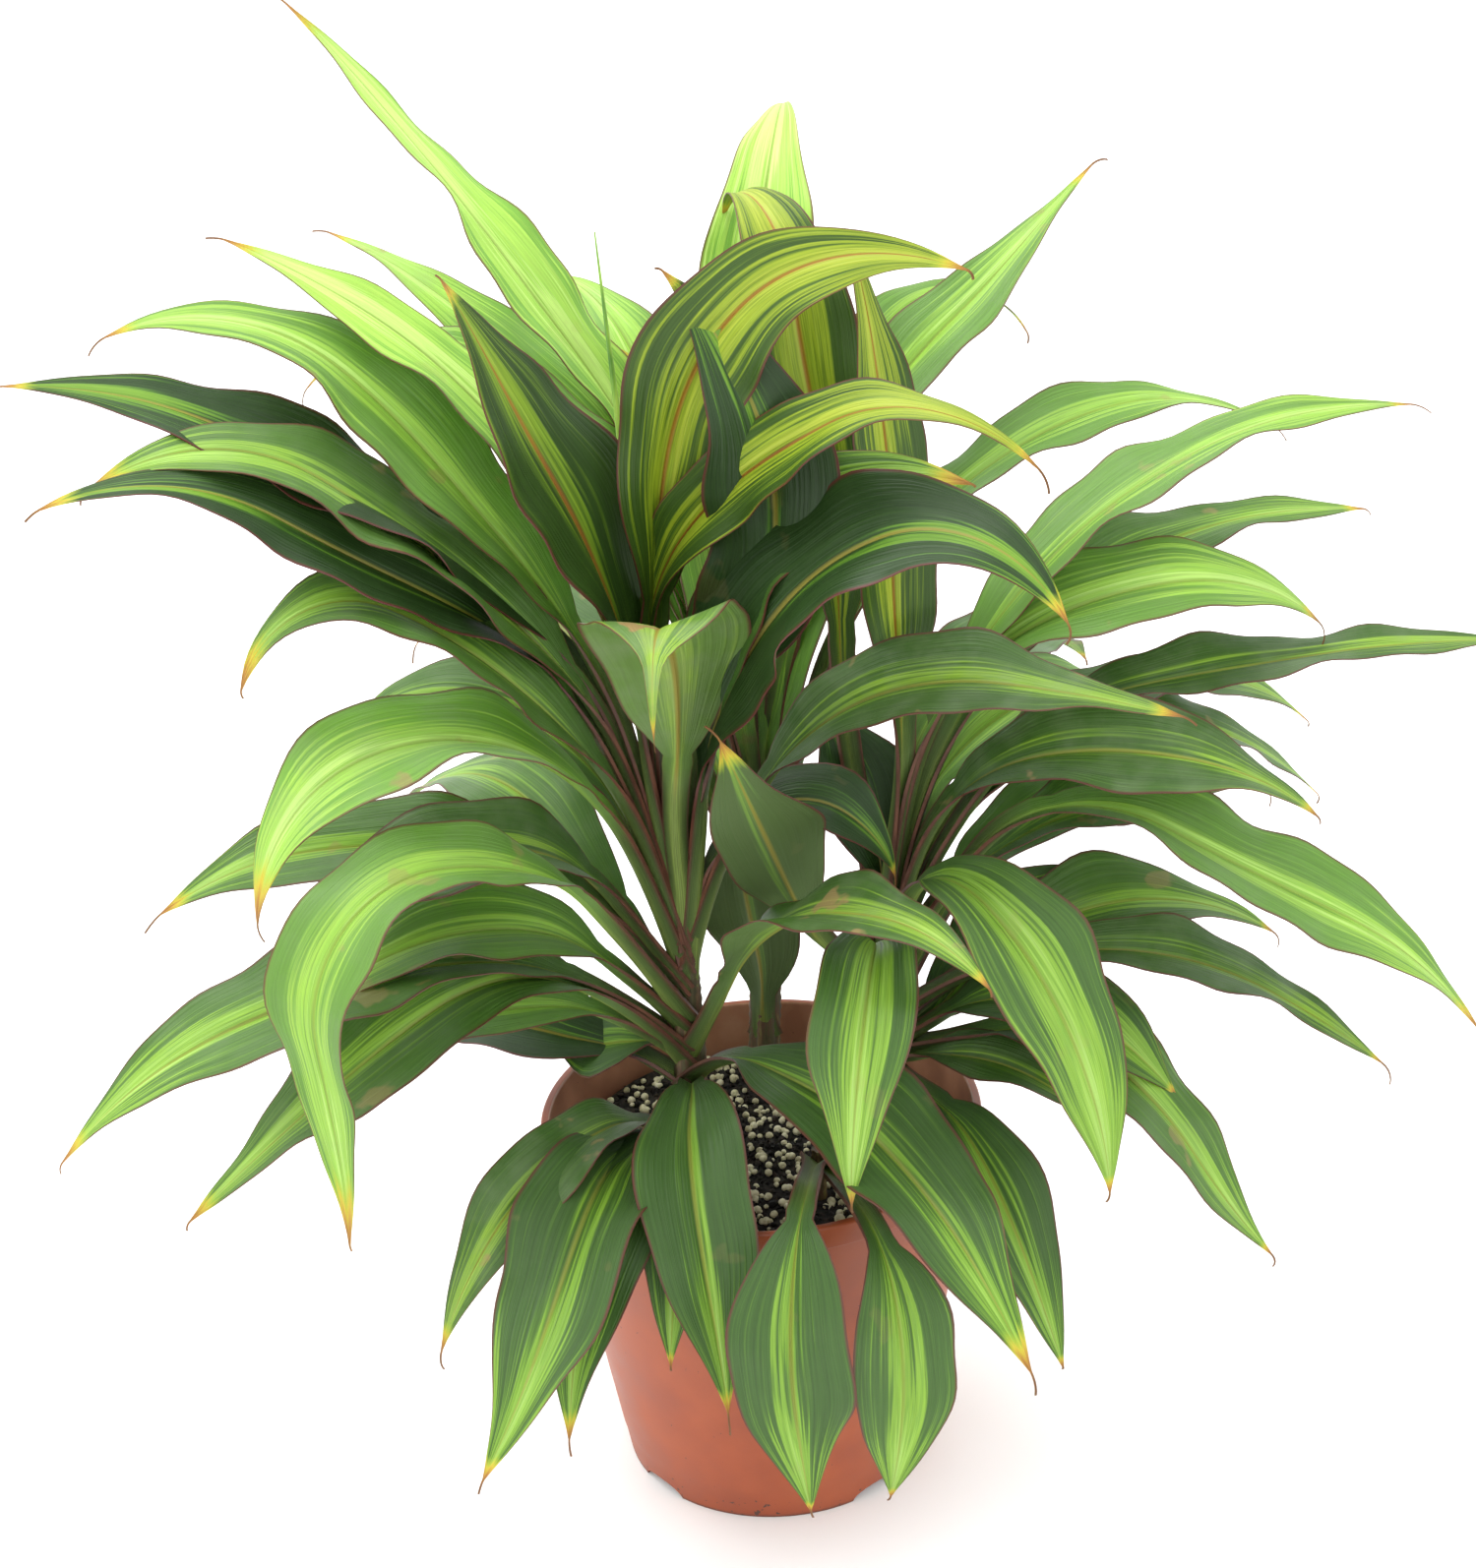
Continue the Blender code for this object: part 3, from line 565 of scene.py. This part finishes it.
# Leaves, lowest first: height on the cane, azimuth, length, width, then the midrib's angle above
# level at the cane, a quarter, half and three quarters of the way along and at the tip, then how
# far the blade is turned about its midrib, its looks, and how much of it has dried, in hundredths
LEAVES = {
    "stem_left": [
        (206, 266, 205, 50, (40, 26, -15, -60, -75), 0, "fresh", 5),
        (238, 273, 246, 62, (48, 8, -42, -64, -68), 0, "fresh", 7),
        (212, 243, 200, 50, (30, 14, -22, -48, -55), 0, "fresh", 6),
        (208, 251, 248, 58, (33, 16, -18, -52, -58), 0, "fresh", 8),
        (212, 246, 292, 70, (30, 13, -18, -32, -32), 0, "fresh", 6),
        (208, 230, 246, 45, (42, 28, -8, -45, -62), 0, "dull", 8),
        (262, 162, 80, 54, (20, 5, -22, -18, 50), 0, "fresh", 3),
        (243, 309, 310, 72, (56, 6, -20, -30, -46), 0, "fresh", 10),
        (240, 160, 190, 50, (35, 15, 0, -15, -30), 0, "painted_shade", 5),
        (255, 204, 346, 64, (63, 33, -16, -34, -41), 0, "plain", 8),
        (258, 193, 280, 55, (50, 25, -8, -35, -50), 0, "light", 6),
        (262, 309, 305, 58, (62, 57, 36, 10, -34), 0, "dull", 5),
        (264, 200, 395, 66, (56, 30, 0, -24, -42), 0, "plain", 7),
        (270, 128, 330, 58, (60, 40, 8, -20, -45), 0, "plain", 6),
        (278, 200, 260, 60, (58, 45, 14, -10, -30), 0, "light", 7),
        (284, 222, 470, 58, (63, 53, 8, -92, -86), 0, "light", 12),
        (300, 188, 325, 62, (66, 45, 10, 0, -30), 0, "plain", 8),
        (305, 200, 275, 62, (66, 56, 24, -12, -38), 0, "dull", 6),
        (315, 207, 375, 66, (78, 68, 30, -18, -80), 0, "pale", 12),
        (318, 160, 300, 50, (80, 68, 34, -5, -78), 0, "plain", 5),
        (318, 345, 368, 62, (78, 64, 34, 0, -12), 0, "dull", 6),
        (316, 138, 245, 52, (82, 70, 38, 5, -60), 0, "light", 6),
        (322, 356, 205, 48, (80, 74, 38, -40, -80), 0, "painted_shade", 5),
        (322, 203, 385, 62, (84, 70, 48, 34, -66), 5, "plain", 10),
        (326, 195, 480, 60, (82, 70, 42, 35, -20), 5, "painted_shade", 6),
        (330, 191, 470, 62, (83, 74, 47, 36, -25), 5, "plain", 7),
        (302, 324, 455, 86, (85, 82, 60, 24, -52), (-40, -15), "painted_shade", 5),
        (332, 185, 510, 66, (82, 73, 44, 29, 8), 0, "painted_shade", 4),
        (332, 270, 330, 84, (86, 78, 74, 30, -85), 0, "faded", 5),
        (330, 160, 414, 70, (93, 100, 120, 83, 37), (80, 45), "painted_shade", 4),
        (334, 176, 500, 62, (84, 76, 56, 42, -18), 5, "light", 5),
        (335, 166, 480, 50, (87, 84, 63, 46, 16), 0, "sunlit", 6),
        (336, 198, 404, 86, (85, 84, 78, 68, 61), (26, 20), "olive", 5),
        (337, 330, 478, 42, (99, 96, 58, 29, -44), (-60, -5), "gold", 5),
        (338, 337, 500, 62, (98, 94, 81, 43, -10), (-110, -45), "gold", 5),
        (334, 343, 361, 62, (84, 83, 73, 41, -8), (-36, -20), "bright", 10),
    ],
    "stem_right": [
        (228, 12, 190, 56, (52, 48, 40, 20, -10), -20, "fresh", 4),
        (238, 300, 222, 50, (12, -10, -28, -50, -66), 0, "fresh", 4),
        (240, 325, 148, 40, (25, 25, 5, -20, -35), 0, "dull", 5),
        (245, 333, 278, 55, (26, 18, -26, -52, -44), 0, "plain", 4),
        (245, 338, 205, 60, (42, 36, 10, -38, -55), 0, "fresh", 5),
        (252, 5, 250, 58, (45, 35, 15, -10, -35), 0, "plain", 5),
        (255, 40, 330, 58, (55, 40, 5, -25, -50), 0, "plain", 6),
        (262, 350, 310, 46, (45, 25, -8, -32, -36), 5, "dull", 4),
        (274, 263, 290, 54, (68, 46, 6, -76, -88), 0, "bright", 5),
        (275, 304, 342, 66, (84, 60, -20, -65, -84), 0, "bright", 4),
        (280, 60, 360, 60, (72, 55, 20, -15, -45), 0, "plain", 6),
        (282, 350, 432, 60, (70, 50, -26, -32, -54), 0, "light", 8),
        (285, 20, 280, 50, (65, 42, 10, -5, -30), 0, "plain", 5),
        (290, 225, 228, 60, (46, 50, 60, 68, 72), -56, "painted_shade", 12),
        (288, 20, 370, 45, (75, 55, 8, -30, -50), 0, "plain", 5),
        (290, 118, 170, 56, (92, 88, 74, 55, 40), 0, "painted_shade", 5),
        (290, 350, 335, 64, (86, 68, 21, -7, -45), 0, "dull", 5),
        (290, 24, 370, 45, (78, 58, 14, -15, -45), 0, "plain", 6),
        (296, 5, 440, 44, (75, 55, 12, 5, -12), 8, "dull", 4),
        (296, 42, 290, 60, (80, 62, 25, -10, -40), 0, "light", 8),
        (298, 25, 440, 48, (84, 70, 26, 8, -15), 0, "plain", 5),
        (299, 5, 400, 66, (90, 79, 40, 6, -50), 0, "light", 5),
        (300, 15, 480, 54, (88, 75, 40, 20, -8), 12, "light", 4),
        (300, 168, 421, 50, (98, 97, 90, 81, 81), 28, "gold", 5),
        (300, 116, 500, 62, (79, 79, 78, 88, -60), 4, "gold", 5),
    ],
    "stem_middle": [
        (224, 262, 165, 56, (84, 82, 78, 70, 55), 0, "painted_shade", 6),
        (262, 100, 340, 60, (55, 40, 5, -30, -55), 0, "plain", 6),
        (285, 85, 370, 60, (70, 52, 14, -20, -50), 0, "plain", 6),
        (292, 135, 380, 60, (72, 55, 20, -15, -45), 0, "plain", 6),
        (302, 138, 450, 45, (84, 78, 64, 30, -50), 0, "pale", 5),
        (310, 165, 480, 45, (84, 80, 64, 30, -50), 0, "pale", 5),
        (314, 100, 420, 62, (80, 68, 36, 0, -40), 0, "plain", 6),
        (316, 152, 480, 45, (83, 78, 60, 38, 10), 0, "pale", 5),
        (300, 118, 310, 55, (88, 84, 75, 60, 30), 0, "pale", 5),
        (312, 140, 340, 55, (90, 88, 80, 70, 30), 0, "pale", 5),
        (314, 40, 460, 42, (84, 82, 70, 30, -60), 0, "light", 6),
        (322, 128, 400, 60, (88, 84, 72, 50, 0), 0, "pale", 5),
        (322, 15, 464, 46, (78, 68, 46, 6, -32), 8, "light", 5),
        (318, 65, 260, 60, (88, 84, 75, 55, 20), 0, "light", 5),
        (326, 28, 465, 48, (82, 79, 66, 32, 34), 0, "light", 5),
        (330, 172, 560, 52, (84, 80, 66, 52, 48), -6, "sunlit", 6),
        (334, 79, 478, 62, (82, 80, 79, 70, -20), 0, "sunlit", 5),
    ],
    "shoot_front": [
        (212, 285, 255, 58, (22, 8, -65, -88, -104), 0, "bright", 4),
        (214, 263, 278, 66, (30, 22, -64, -88, -90), 0, "fresh", 3),
    ],
}

def blend(share, start, end):
    """0 before start, 1 after end and smooth between them."""
    part = np.clip((share - start) / (end - start), 0, 1)
    return part * part * (3 - 2 * part)


def wave(kind, reach, phase, edge=0):
    """Rise and fall of a kind of wave at a reach in millimetres along a leaf."""
    height, length, start, apart = kind
    return height * np.sin(2 * math.pi * reach / length + start * phase + apart * edge)


def half_widths(shares, width, stalk):
    """Half the width of a leaf, from its stalk to its drawn-out tip."""
    along = np.clip((shares - stalk) / (1 - stalk), 0, 1)
    fall = BLADE_POWER * (1 - BLADE_WIDEST) / BLADE_WIDEST
    shape = (along / BLADE_WIDEST) ** BLADE_POWER * ((1 - along) / (1 - BLADE_WIDEST)) ** fall
    shape *= 1 - TAPER * blend(along, *TAPER_SHARES)
    least = (STALK_HALF_WIDTH + STALK_FLARE) * (1 - along) ** 2 + TIP_HALF_WIDTH
    stem = STALK_HALF_WIDTH + STALK_FLARE * np.clip(shares / stalk, 0, 1) ** 3
    stem += CLASP_FLARE * np.clip(1 - shares / CLASP_SHARE, 0, 1) ** 2
    return np.where(shares < stalk, stem, np.maximum(width / 2 * shape, least))


def midrib_stations(cane, height, azimuth, length, angles, rolls, rows, thread, phase):
    """Points of a leaf's midrib with its side and face directions, out to the end of its thread."""
    turn = math.radians(azimuth)
    out = np.array([math.cos(turn), math.sin(turn), 0])
    side = np.array([-math.sin(turn), math.cos(turn), 0])
    up = np.array([0, 0, 1])
    drawn = thread / length * np.arange(1, THREAD_ROWS + 1) / THREAD_ROWS
    shares = np.concatenate([np.arange(rows + 1) / rows, 1 + drawn])
    rise = np.radians(np.interp(shares, (0, 0.25, 0.5, 0.75, 1), angles))
    rise[rows + 1:] -= np.linspace(THREAD_DROOP, chance.uniform(*THREAD_DROOPS), THREAD_ROWS)
    ahead = out * np.cos(rise)[:, None] + up * np.sin(rise)[:, None]
    face = up * np.cos(rise)[:, None] - out * np.sin(rise)[:, None]
    middle_roll, tip_roll = np.broadcast_to(rolls, 2)
    roll = middle_roll + (tip_roll - middle_roll) * blend(shares, *TWIST_SHARES)
    roll = roll + wave(TWIST, length * shares, phase) - LIGHT_TURN * math.cos(turn)
    turned = blend(shares, *ROLL_SHARES)
    tilt = (np.radians(roll) * turned)[:, None]
    steps = np.diff(shares, prepend=0)[:, None] * length
    middle = (ahead + np.roll(ahead, 1, axis=0)) / 2 * steps
    points = along_cane(cane, height) + out * CANES[cane][3] * BASE_OFFSET + np.cumsum(middle, axis=0)
    turned_side = side * np.cos(tilt) - face * np.sin(tilt)
    turned_face = face * np.cos(tilt) + side * np.sin(tilt)
    points = points + turned_side * (wave(SWAY, length * shares, phase) * turned)[:, None]
    return shares, points, turned_side, turned_face


def lime_field(out, along, lime):
    """How likely lime is: most beside the midrib, and over the whole blade towards its tip."""
    field = LIME_AT_RIB - (LIME_AT_RIB - LIME_AT_EDGE) * blend(out, *LIME_EDGE_SHARES)
    field = field + LIME_AT_TIP * blend(along, *LIME_TIP_SHARES)
    field = field - LIME_AT_BASE * (1 - blend(along, *LIME_BASE_SHARES))
    return field + LIME_GAIN * (lime - 0.5)


def add_looks(mesh, looks, across, along, length):
    """Looks of each corner of a leaf as attributes, and its place in the pattern of lines."""
    for key, value in looks.items():
        attribute = mesh.attributes.new(key, "FLOAT", "POINT")
        attribute.data.foreach_set("value", np.broadcast_to(value, len(across)).astype(np.float32))
    # Veins leave the midrib at a slant, so a line of the pattern moves outward along the blade
    vein = across - VEIN_SLANT * along * np.clip(across / VEIN_FAN, -1, 1)
    own_place = np.full(len(across), chance.uniform(0, PATTERN_PLACES))
    lines = np.stack([vein, along * length * LINE_DRAW, own_place], axis=1)
    attribute = mesh.attributes.new("lines", "FLOAT_VECTOR", "POINT")
    attribute.data.foreach_set("vector", lines.astype(np.float32).ravel())


def grow_leaf(name, cane, row, phase, materials):
    """One leaf: a grid laid along its midrib, thickened, with its looks as attributes."""
    height, azimuth, length, width, angles, rolls, look, dried = row
    rows = round(length / ROW_LENGTH)
    stalk = np.interp(CANES[cane][2] - height, STALK_DEPTHS, STALK_SHARES)
    thread = chance.uniform(*THREAD_LENGTHS)
    stations = midrib_stations(cane, height, azimuth, length, angles, rolls, rows, thread, phase)
    shares, points, sides, faces = stations
    deselect_all()
    bpy.ops.mesh.primitive_grid_add(
        x_subdivisions=ACROSS_STEPS, y_subdivisions=rows + THREAD_ROWS, size=2, location=(0, 0, 0)
    )
    leaf = bpy.context.object
    leaf.name = name
    grid = np.array([corner.co for corner in leaf.data.vertices])
    across = -np.sign(grid[:, 0]) * np.abs(grid[:, 0]) ** MIDRIB_CROWDING
    number = np.rint((grid[:, 1] + 1) / 2 * (rows + THREAD_ROWS)).astype(int)
    share = shares[number]
    out, edge, reach = np.abs(across), np.sign(across), length * share
    blade = blend(share - stalk, *FLATTENING_SHARES)
    half = half_widths(share, width, stalk)
    if look == "faded":
        half *= 1 - STRIP_LOSS * blend(share, *STRIP_SHARES)
    half *= 1 + blade * wave(MARGIN_SWELL, reach, phase, edge)
    # Lift of the face above the midrib: the fold and its arch, the waves and the groove
    angle = BLADE_FOLDS[0] + (BLADE_FOLDS[1] - BLADE_FOLDS[0]) * blend(share, stalk, BLADE_FOLD_END)
    fold = np.tan(np.radians(STALK_FOLD + (angle - STALK_FOLD) * blade))
    arch = out * (1 + BLADE_ARCH * blade * (1 - out))
    ripple = wave(RIPPLE, reach, phase, edge) * out ** RIPPLE_POWER
    ripple *= RIPPLE_MEAN + wave(RIPPLE_SWELL, reach, phase, edge)
    flutter = wave(FLUTTER, reach, phase, edge) * out ** FLUTTER_POWER
    beside_rib = np.exp(-((across / RIB_WIDTH) ** 2))
    full = blade * half / (width / 2)
    lift = half * fold * arch + full * (ripple + flutter - GROOVE_DEPTH * beside_rib)
    place = points[number] + sides[number] * (half * across)[:, None] + faces[number] * lift[:, None]
    leaf.data.vertices.foreach_set("co", (place * MM).ravel())
    thin = (STALK_THICKNESS - BLADE_THICKNESS) * (1 - blade) * (1 - STALK_THINNING * out ** 2)
    rib = RIB_THICKNESS * blade * np.clip(1 - share, 0, 1) * beside_rib
    thickness = leaf.vertex_groups.new(name="thickness")
    for corner, value in enumerate((BLADE_THICKNESS + thin + rib) / STALK_THICKNESS):
        thickness.add([corner], min(value, 1), "REPLACE")
    lime, gold, painted_shade, bloom_and_sheen, red = LOOKS[look]
    along = (share - stalk) / (1 - stalk)
    dry = AGE_SHARE * dried / 100
    add_looks(leaf.data, {
        "gold": gold, "painted_shade": painted_shade, "bloom_and_sheen": bloom_and_sheen, "red": red, "out": out,
        "stripes": lime_field(out, along, lime), "stem": 1 - blend(along, *STEM_SHARES),
        "age": (share - 1 + dry) / (2 * dry),
    }, across, along, length)
    for material in materials:
        leaf.data.materials.append(material)
    solid = leaf.modifiers.new("thickness", "SOLIDIFY")
    solid.thickness = STALK_THICKNESS * MM
    solid.vertex_group = "thickness"
    solid.offset = -1
    solid.material_offset = 1
    bpy.ops.object.modifier_apply(modifier="thickness")
    smooth(leaf, angle=50)
    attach(leaf, "root")
    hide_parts(cane)
    return leaf


def leaf_material(name, under):
    """Living leaf blade and stalk. The upper face is satin, and the under face is duller and greyer."""
    material, tree, shader = new_material(name)
    value = {}
    for key in ("out", "stripes", "gold", "painted_shade", "bloom_and_sheen", "red", "stem", "age"):
        value[key] = add_node(tree, "ShaderNodeAttribute", attribute_name=key).outputs["Fac"]
    # Stripes of deep green, mid green and lime, in a green and a golden leaf, with painted shade and painted
    # sunlight from a darker and a brighter ramp
    lines = add_node(tree, "ShaderNodeAttribute", attribute_name="lines").outputs["Vector"]
    broad, narrow, fine = (noise(tree, lines, scale, detail) for scale, detail, _ in LINES)
    field = value["stripes"]
    for pattern, (_, _, weight) in zip((broad, narrow, fine), LINES):
        field = worked(tree, "MULTIPLY_ADD", pattern, weight, field)
    green, golden, painted_shade, sunlit = (ramp(tree, field, stops) for stops in STRIPES)
    # Painted shade: the blade is mixed towards the darker ramp by its look's shade value
    tint = mixed(tree, value["painted_shade"], mixed(tree, value["gold"], green, golden), painted_shade)
    # Painted light: a shade value below zero mixes the blade towards the brighter sunlit ramp
    tint = mixed(tree, worked(tree, "MULTIPLY", value["painted_shade"], -2, use_clamp=True), tint, sunlit)
    shade = spread(tree, fine, 0.3, 0.7, 0.82, 1.12)
    tint = add_node(tree, "ShaderNodeHueSaturation", {"Value": shade, "Color": tint}).outputs[0]
    # Grey patches that are partly dusty bloom and water marks and partly a painted sheen, and small dry pale
    # spots on the leaves with most bloom
    place = object_place(tree)
    patches = spread(tree, noise(tree, place, 1 / (BLOOM_AND_SHEEN_SIZE * MM), 5), 0.4, 0.75, 0.0, 0.4)
    # Painted sheen and dust: the blade is greyed in patches by its look's bloom value
    tint = mixed(tree, worked(tree, "MULTIPLY", patches, value["bloom_and_sheen"]), tint, linear("#8c9c78"))
    spots = spread(tree, noise(tree, place, 1 / (SPOT_SIZE * MM), 3), 0.66, 0.69)
    spots = worked(tree, "MULTIPLY", spots, value["bloom_and_sheen"], use_clamp=True)
    tint = mixed(tree, spots, tint, linear("#a98f5f"))
    if under:
        tint = mixed(tree, 0.4, tint, linear("#7f9658"))
    # Midrib: pale green on green leaves and orange-red on the red ones. Margin: a fine maroon line
    rib = mixed(tree, value["red"], linear("#8fb54c"), linear("#a8541f"))
    tint = mixed(tree, spread(tree, value["out"], 0.02, 0.055, 0.75, 0.0), tint, rib)
    tint = mixed(tree, spread(tree, value["out"], 0.94, 0.985, 0.0, 0.85), tint, linear("#6a3030"))
    # Stalk: olive, palest in its channel, with a thin maroon edge and fine lines
    stalk = ramp(
        tree, value["out"],
        [(0.0, "#7f9246"), (0.35, "#627839"), (0.7, "#4f622e"), (0.88, "#584e30"), (0.97, "#6c4534")]
    )
    grain = spread(tree, fine, 0.35, 0.65, 0.7, 1.3)
    stalk = add_node(tree, "ShaderNodeHueSaturation", {"Value": grain, "Color": stalk}).outputs[0]
    tint = mixed(tree, value["stem"], tint, stalk)
    # The tip dries from yellow through orange to brown, with a ragged edge
    ragged = worked(tree, "MULTIPLY_ADD", broad, 0.4, value["age"])
    dead = ramp(tree, ragged, [(0.25, "#b4cf3c"), (0.45, "#d2c040"), (0.6, "#c08b3e"), (0.8, "#8a6038")])
    tint = mixed(tree, spread(tree, ragged, 0.22, 0.42), tint, dead)
    tree.links.new(tint, shader.inputs["Base Color"])
    shader.inputs["Roughness"].default_value = 0.6 if under else 0.42
    shader.inputs["Specular IOR Level"].default_value = 0.42
    veins = bump(tree, narrow, 0.6, 1.2)
    relief = bump(tree, fine, 0.4, 0.4, Normal=veins)
    tree.links.new(relief, shader.inputs["Normal"])
    # Light that comes through the blade
    through = add_node(tree, "ShaderNodeBsdfTranslucent", {"Color": tint, "Normal": relief})
    both = add_node(tree, "ShaderNodeMixShader", {0: 0.3, 1: shader.outputs[0], 2: through.outputs[0]})
    tree.links.new(both.outputs[0], tree.nodes["Material Output"].inputs["Surface"])
    return material


leaf_faces = [leaf_material("satin_leaf_upper_face", False), leaf_material("matt_leaf_under_face", True)]
running = 0
for cane, rows in LEAVES.items():
    for number, row in enumerate(rows):
        grow_leaf(f"{cane}_leaf_{number + 1:02}", cane, row, GOLDEN_ANGLE * running, leaf_faces)
        running += 1

# Rolled leaf: the youngest leaf of the left cane, still wound round itself to a stiff green spike.
# It is a slender cone, leant and wound, with its outer margin as a low ridge.
SPEAR_CANE = "stem_left"
SPEAR_ROOT = 15
SPEAR_LENGTH = 395
SPEAR_RADIUS = 5.5
SPEAR_TIP = 0.4
SPEAR_LEAN = 6
SPEAR_AZIMUTH = 125
SPEAR_SIDES = 28
SPEAR_LEVELS = 40
SEAM_HEIGHT = 0.16
SEAM_WIDTH = 0.5
SEAM_TURN = 5
THREAD_SIZE = 4
THREAD_DRAW = 0.03
deselect_all()
bpy.ops.mesh.primitive_cylinder_add(vertices=SPEAR_SIDES, radius=1, depth=1, location=(0, 0, 0.5))
spear = bpy.context.object
spear.name = "stem_left_rolled_leaf"
bpy.ops.object.transform_apply(location=True, rotation=True, scale=True)
bpy.ops.object.mode_set(mode="EDIT")
for level in range(1, SPEAR_LEVELS):
    bpy.ops.mesh.select_all(action="SELECT")
    bpy.ops.mesh.bisect(plane_co=(0, 0, level / SPEAR_LEVELS), plane_no=(0, 0, 1))
bpy.ops.object.mode_set(mode="OBJECT")
foot = along_cane(SPEAR_CANE, CANES[SPEAR_CANE][2] - SPEAR_ROOT)
lean = SPEAR_LENGTH * math.tan(math.radians(SPEAR_LEAN))
toward = math.radians(SPEAR_AZIMUTH)
for corner in spear.data.vertices:
    share = corner.co.z
    turn = math.atan2(corner.co.y, corner.co.x)
    from_seam = (turn - SEAM_TURN * share + math.pi) % (2 * math.pi) - math.pi
    seam = 1 + SEAM_HEIGHT * math.exp(-(from_seam / SEAM_WIDTH) ** 2)
    size = (SPEAR_RADIUS * (1 - share) + SPEAR_TIP) * seam
    x = foot[0] + math.cos(toward) * lean * share + size * math.cos(turn)
    y = foot[1] + math.sin(toward) * lean * share + size * math.sin(turn)
    corner.co = Vector((x, y, foot[2] + SPEAR_LENGTH * share)) * MM
smooth(spear, angle=50)
young, tree, shader = new_material("young_rolled_leaf")
pulled = add_node(tree, "ShaderNodeMapping", {"Vector": object_place(tree), "Scale": (1, 1, THREAD_DRAW)})
threads = noise(tree, pulled.outputs[0], 1 / (THREAD_SIZE * MM), 3)
fresh = ramp(tree, threads, [(0.35, "#4b7a2a"), (0.5, "#7fa83a"), (0.65, "#a6c552")])
tree.links.new(fresh, shader.inputs["Base Color"])
shader.inputs["Roughness"].default_value = 0.4
spear.data.materials.append(young)
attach(spear, "root")
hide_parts(SPEAR_CANE)

# Studio: a wide white floor, an even white sky and one large soft lamp above the left side. Its sizes
# and places are in metres.
FLOOR_SIZE = 16
FLOOR_PLACE = (0, 3, 0)
SKY_STRENGTH = 1.75
LAMP_SIZE = 2.2
LAMP_WATTS = 55
LAMP_PLACE = (-0.9, 0.3, 2.7)
LAMP_TARGET = (0, 0, 0.4)
deselect_all()
bpy.ops.mesh.primitive_plane_add(size=FLOOR_SIZE, location=FLOOR_PLACE)
floor = bpy.context.object
floor.name = "white_floor"
bpy.ops.object.transform_apply(location=True, rotation=True, scale=True)
white, tree, shader = new_material("white_sheet")
shader.inputs["Base Color"].default_value = linear("#fdfdfc")
shader.inputs["Roughness"].default_value = 0.9
floor.data.materials.append(white)

world = bpy.data.worlds.new("white_sky")
world.use_nodes = True
sky = world.node_tree.nodes["Background"]
sky.inputs["Color"].default_value = linear("#fcfdff")
sky.inputs["Strength"].default_value = SKY_STRENGTH
bpy.context.scene.world = world
lamp = bpy.data.lights.new("soft_lamp", "AREA")
lamp.shape = "DISK"
lamp.size = LAMP_SIZE
lamp.energy = LAMP_WATTS
lamp_stand = bpy.data.objects.new("soft_lamp", lamp)
bpy.context.scene.collection.objects.link(lamp_stand)
lamp_stand.location = LAMP_PLACE
lamp_stand.rotation_euler = (Vector(LAMP_TARGET) - Vector(LAMP_PLACE)).to_track_quat("-Z", "Y").to_euler()
bpy.context.scene.view_settings.view_transform = "Standard"

# Camera: as the photograph was taken, from about 1.2 m up and 1.5 m in front, looking down at the
# plant and turned a little about its own axis.
PHOTO_HEIGHT = 1594
FOCAL_PIXELS = 3209
SENSOR = 36
FARTHEST = 60
CAMERA_PLACE = (0, -1.52315, 1.17918)
CAMERA_YAW = -0.12
CAMERA_PITCH = 26.3
CAMERA_ROLL = -3.0
yaw, pitch, roll = (math.radians(angle) for angle in (CAMERA_YAW, CAMERA_PITCH, CAMERA_ROLL))
ahead = Vector((math.sin(yaw) * math.cos(pitch), math.cos(yaw) * math.cos(pitch), -math.sin(pitch)))
level_right = Vector((math.cos(yaw), -math.sin(yaw), 0))
level_up = level_right.cross(ahead)
right = level_right * math.cos(roll) + level_up * math.sin(roll)
up = level_up * math.cos(roll) - level_right * math.sin(roll)
camera = bpy.data.objects.new("camera", bpy.data.cameras.new("camera"))
camera.data.sensor_fit = "VERTICAL"
camera.data.sensor_height = SENSOR
camera.data.lens = FOCAL_PIXELS * SENSOR / PHOTO_HEIGHT
camera.data.clip_end = FARTHEST
camera.matrix_world = Matrix.Translation(CAMERA_PLACE) @ Matrix((right, up, -ahead)).transposed().to_4x4()
bpy.context.scene.collection.objects.link(camera)
bpy.context.scene.camera = camera
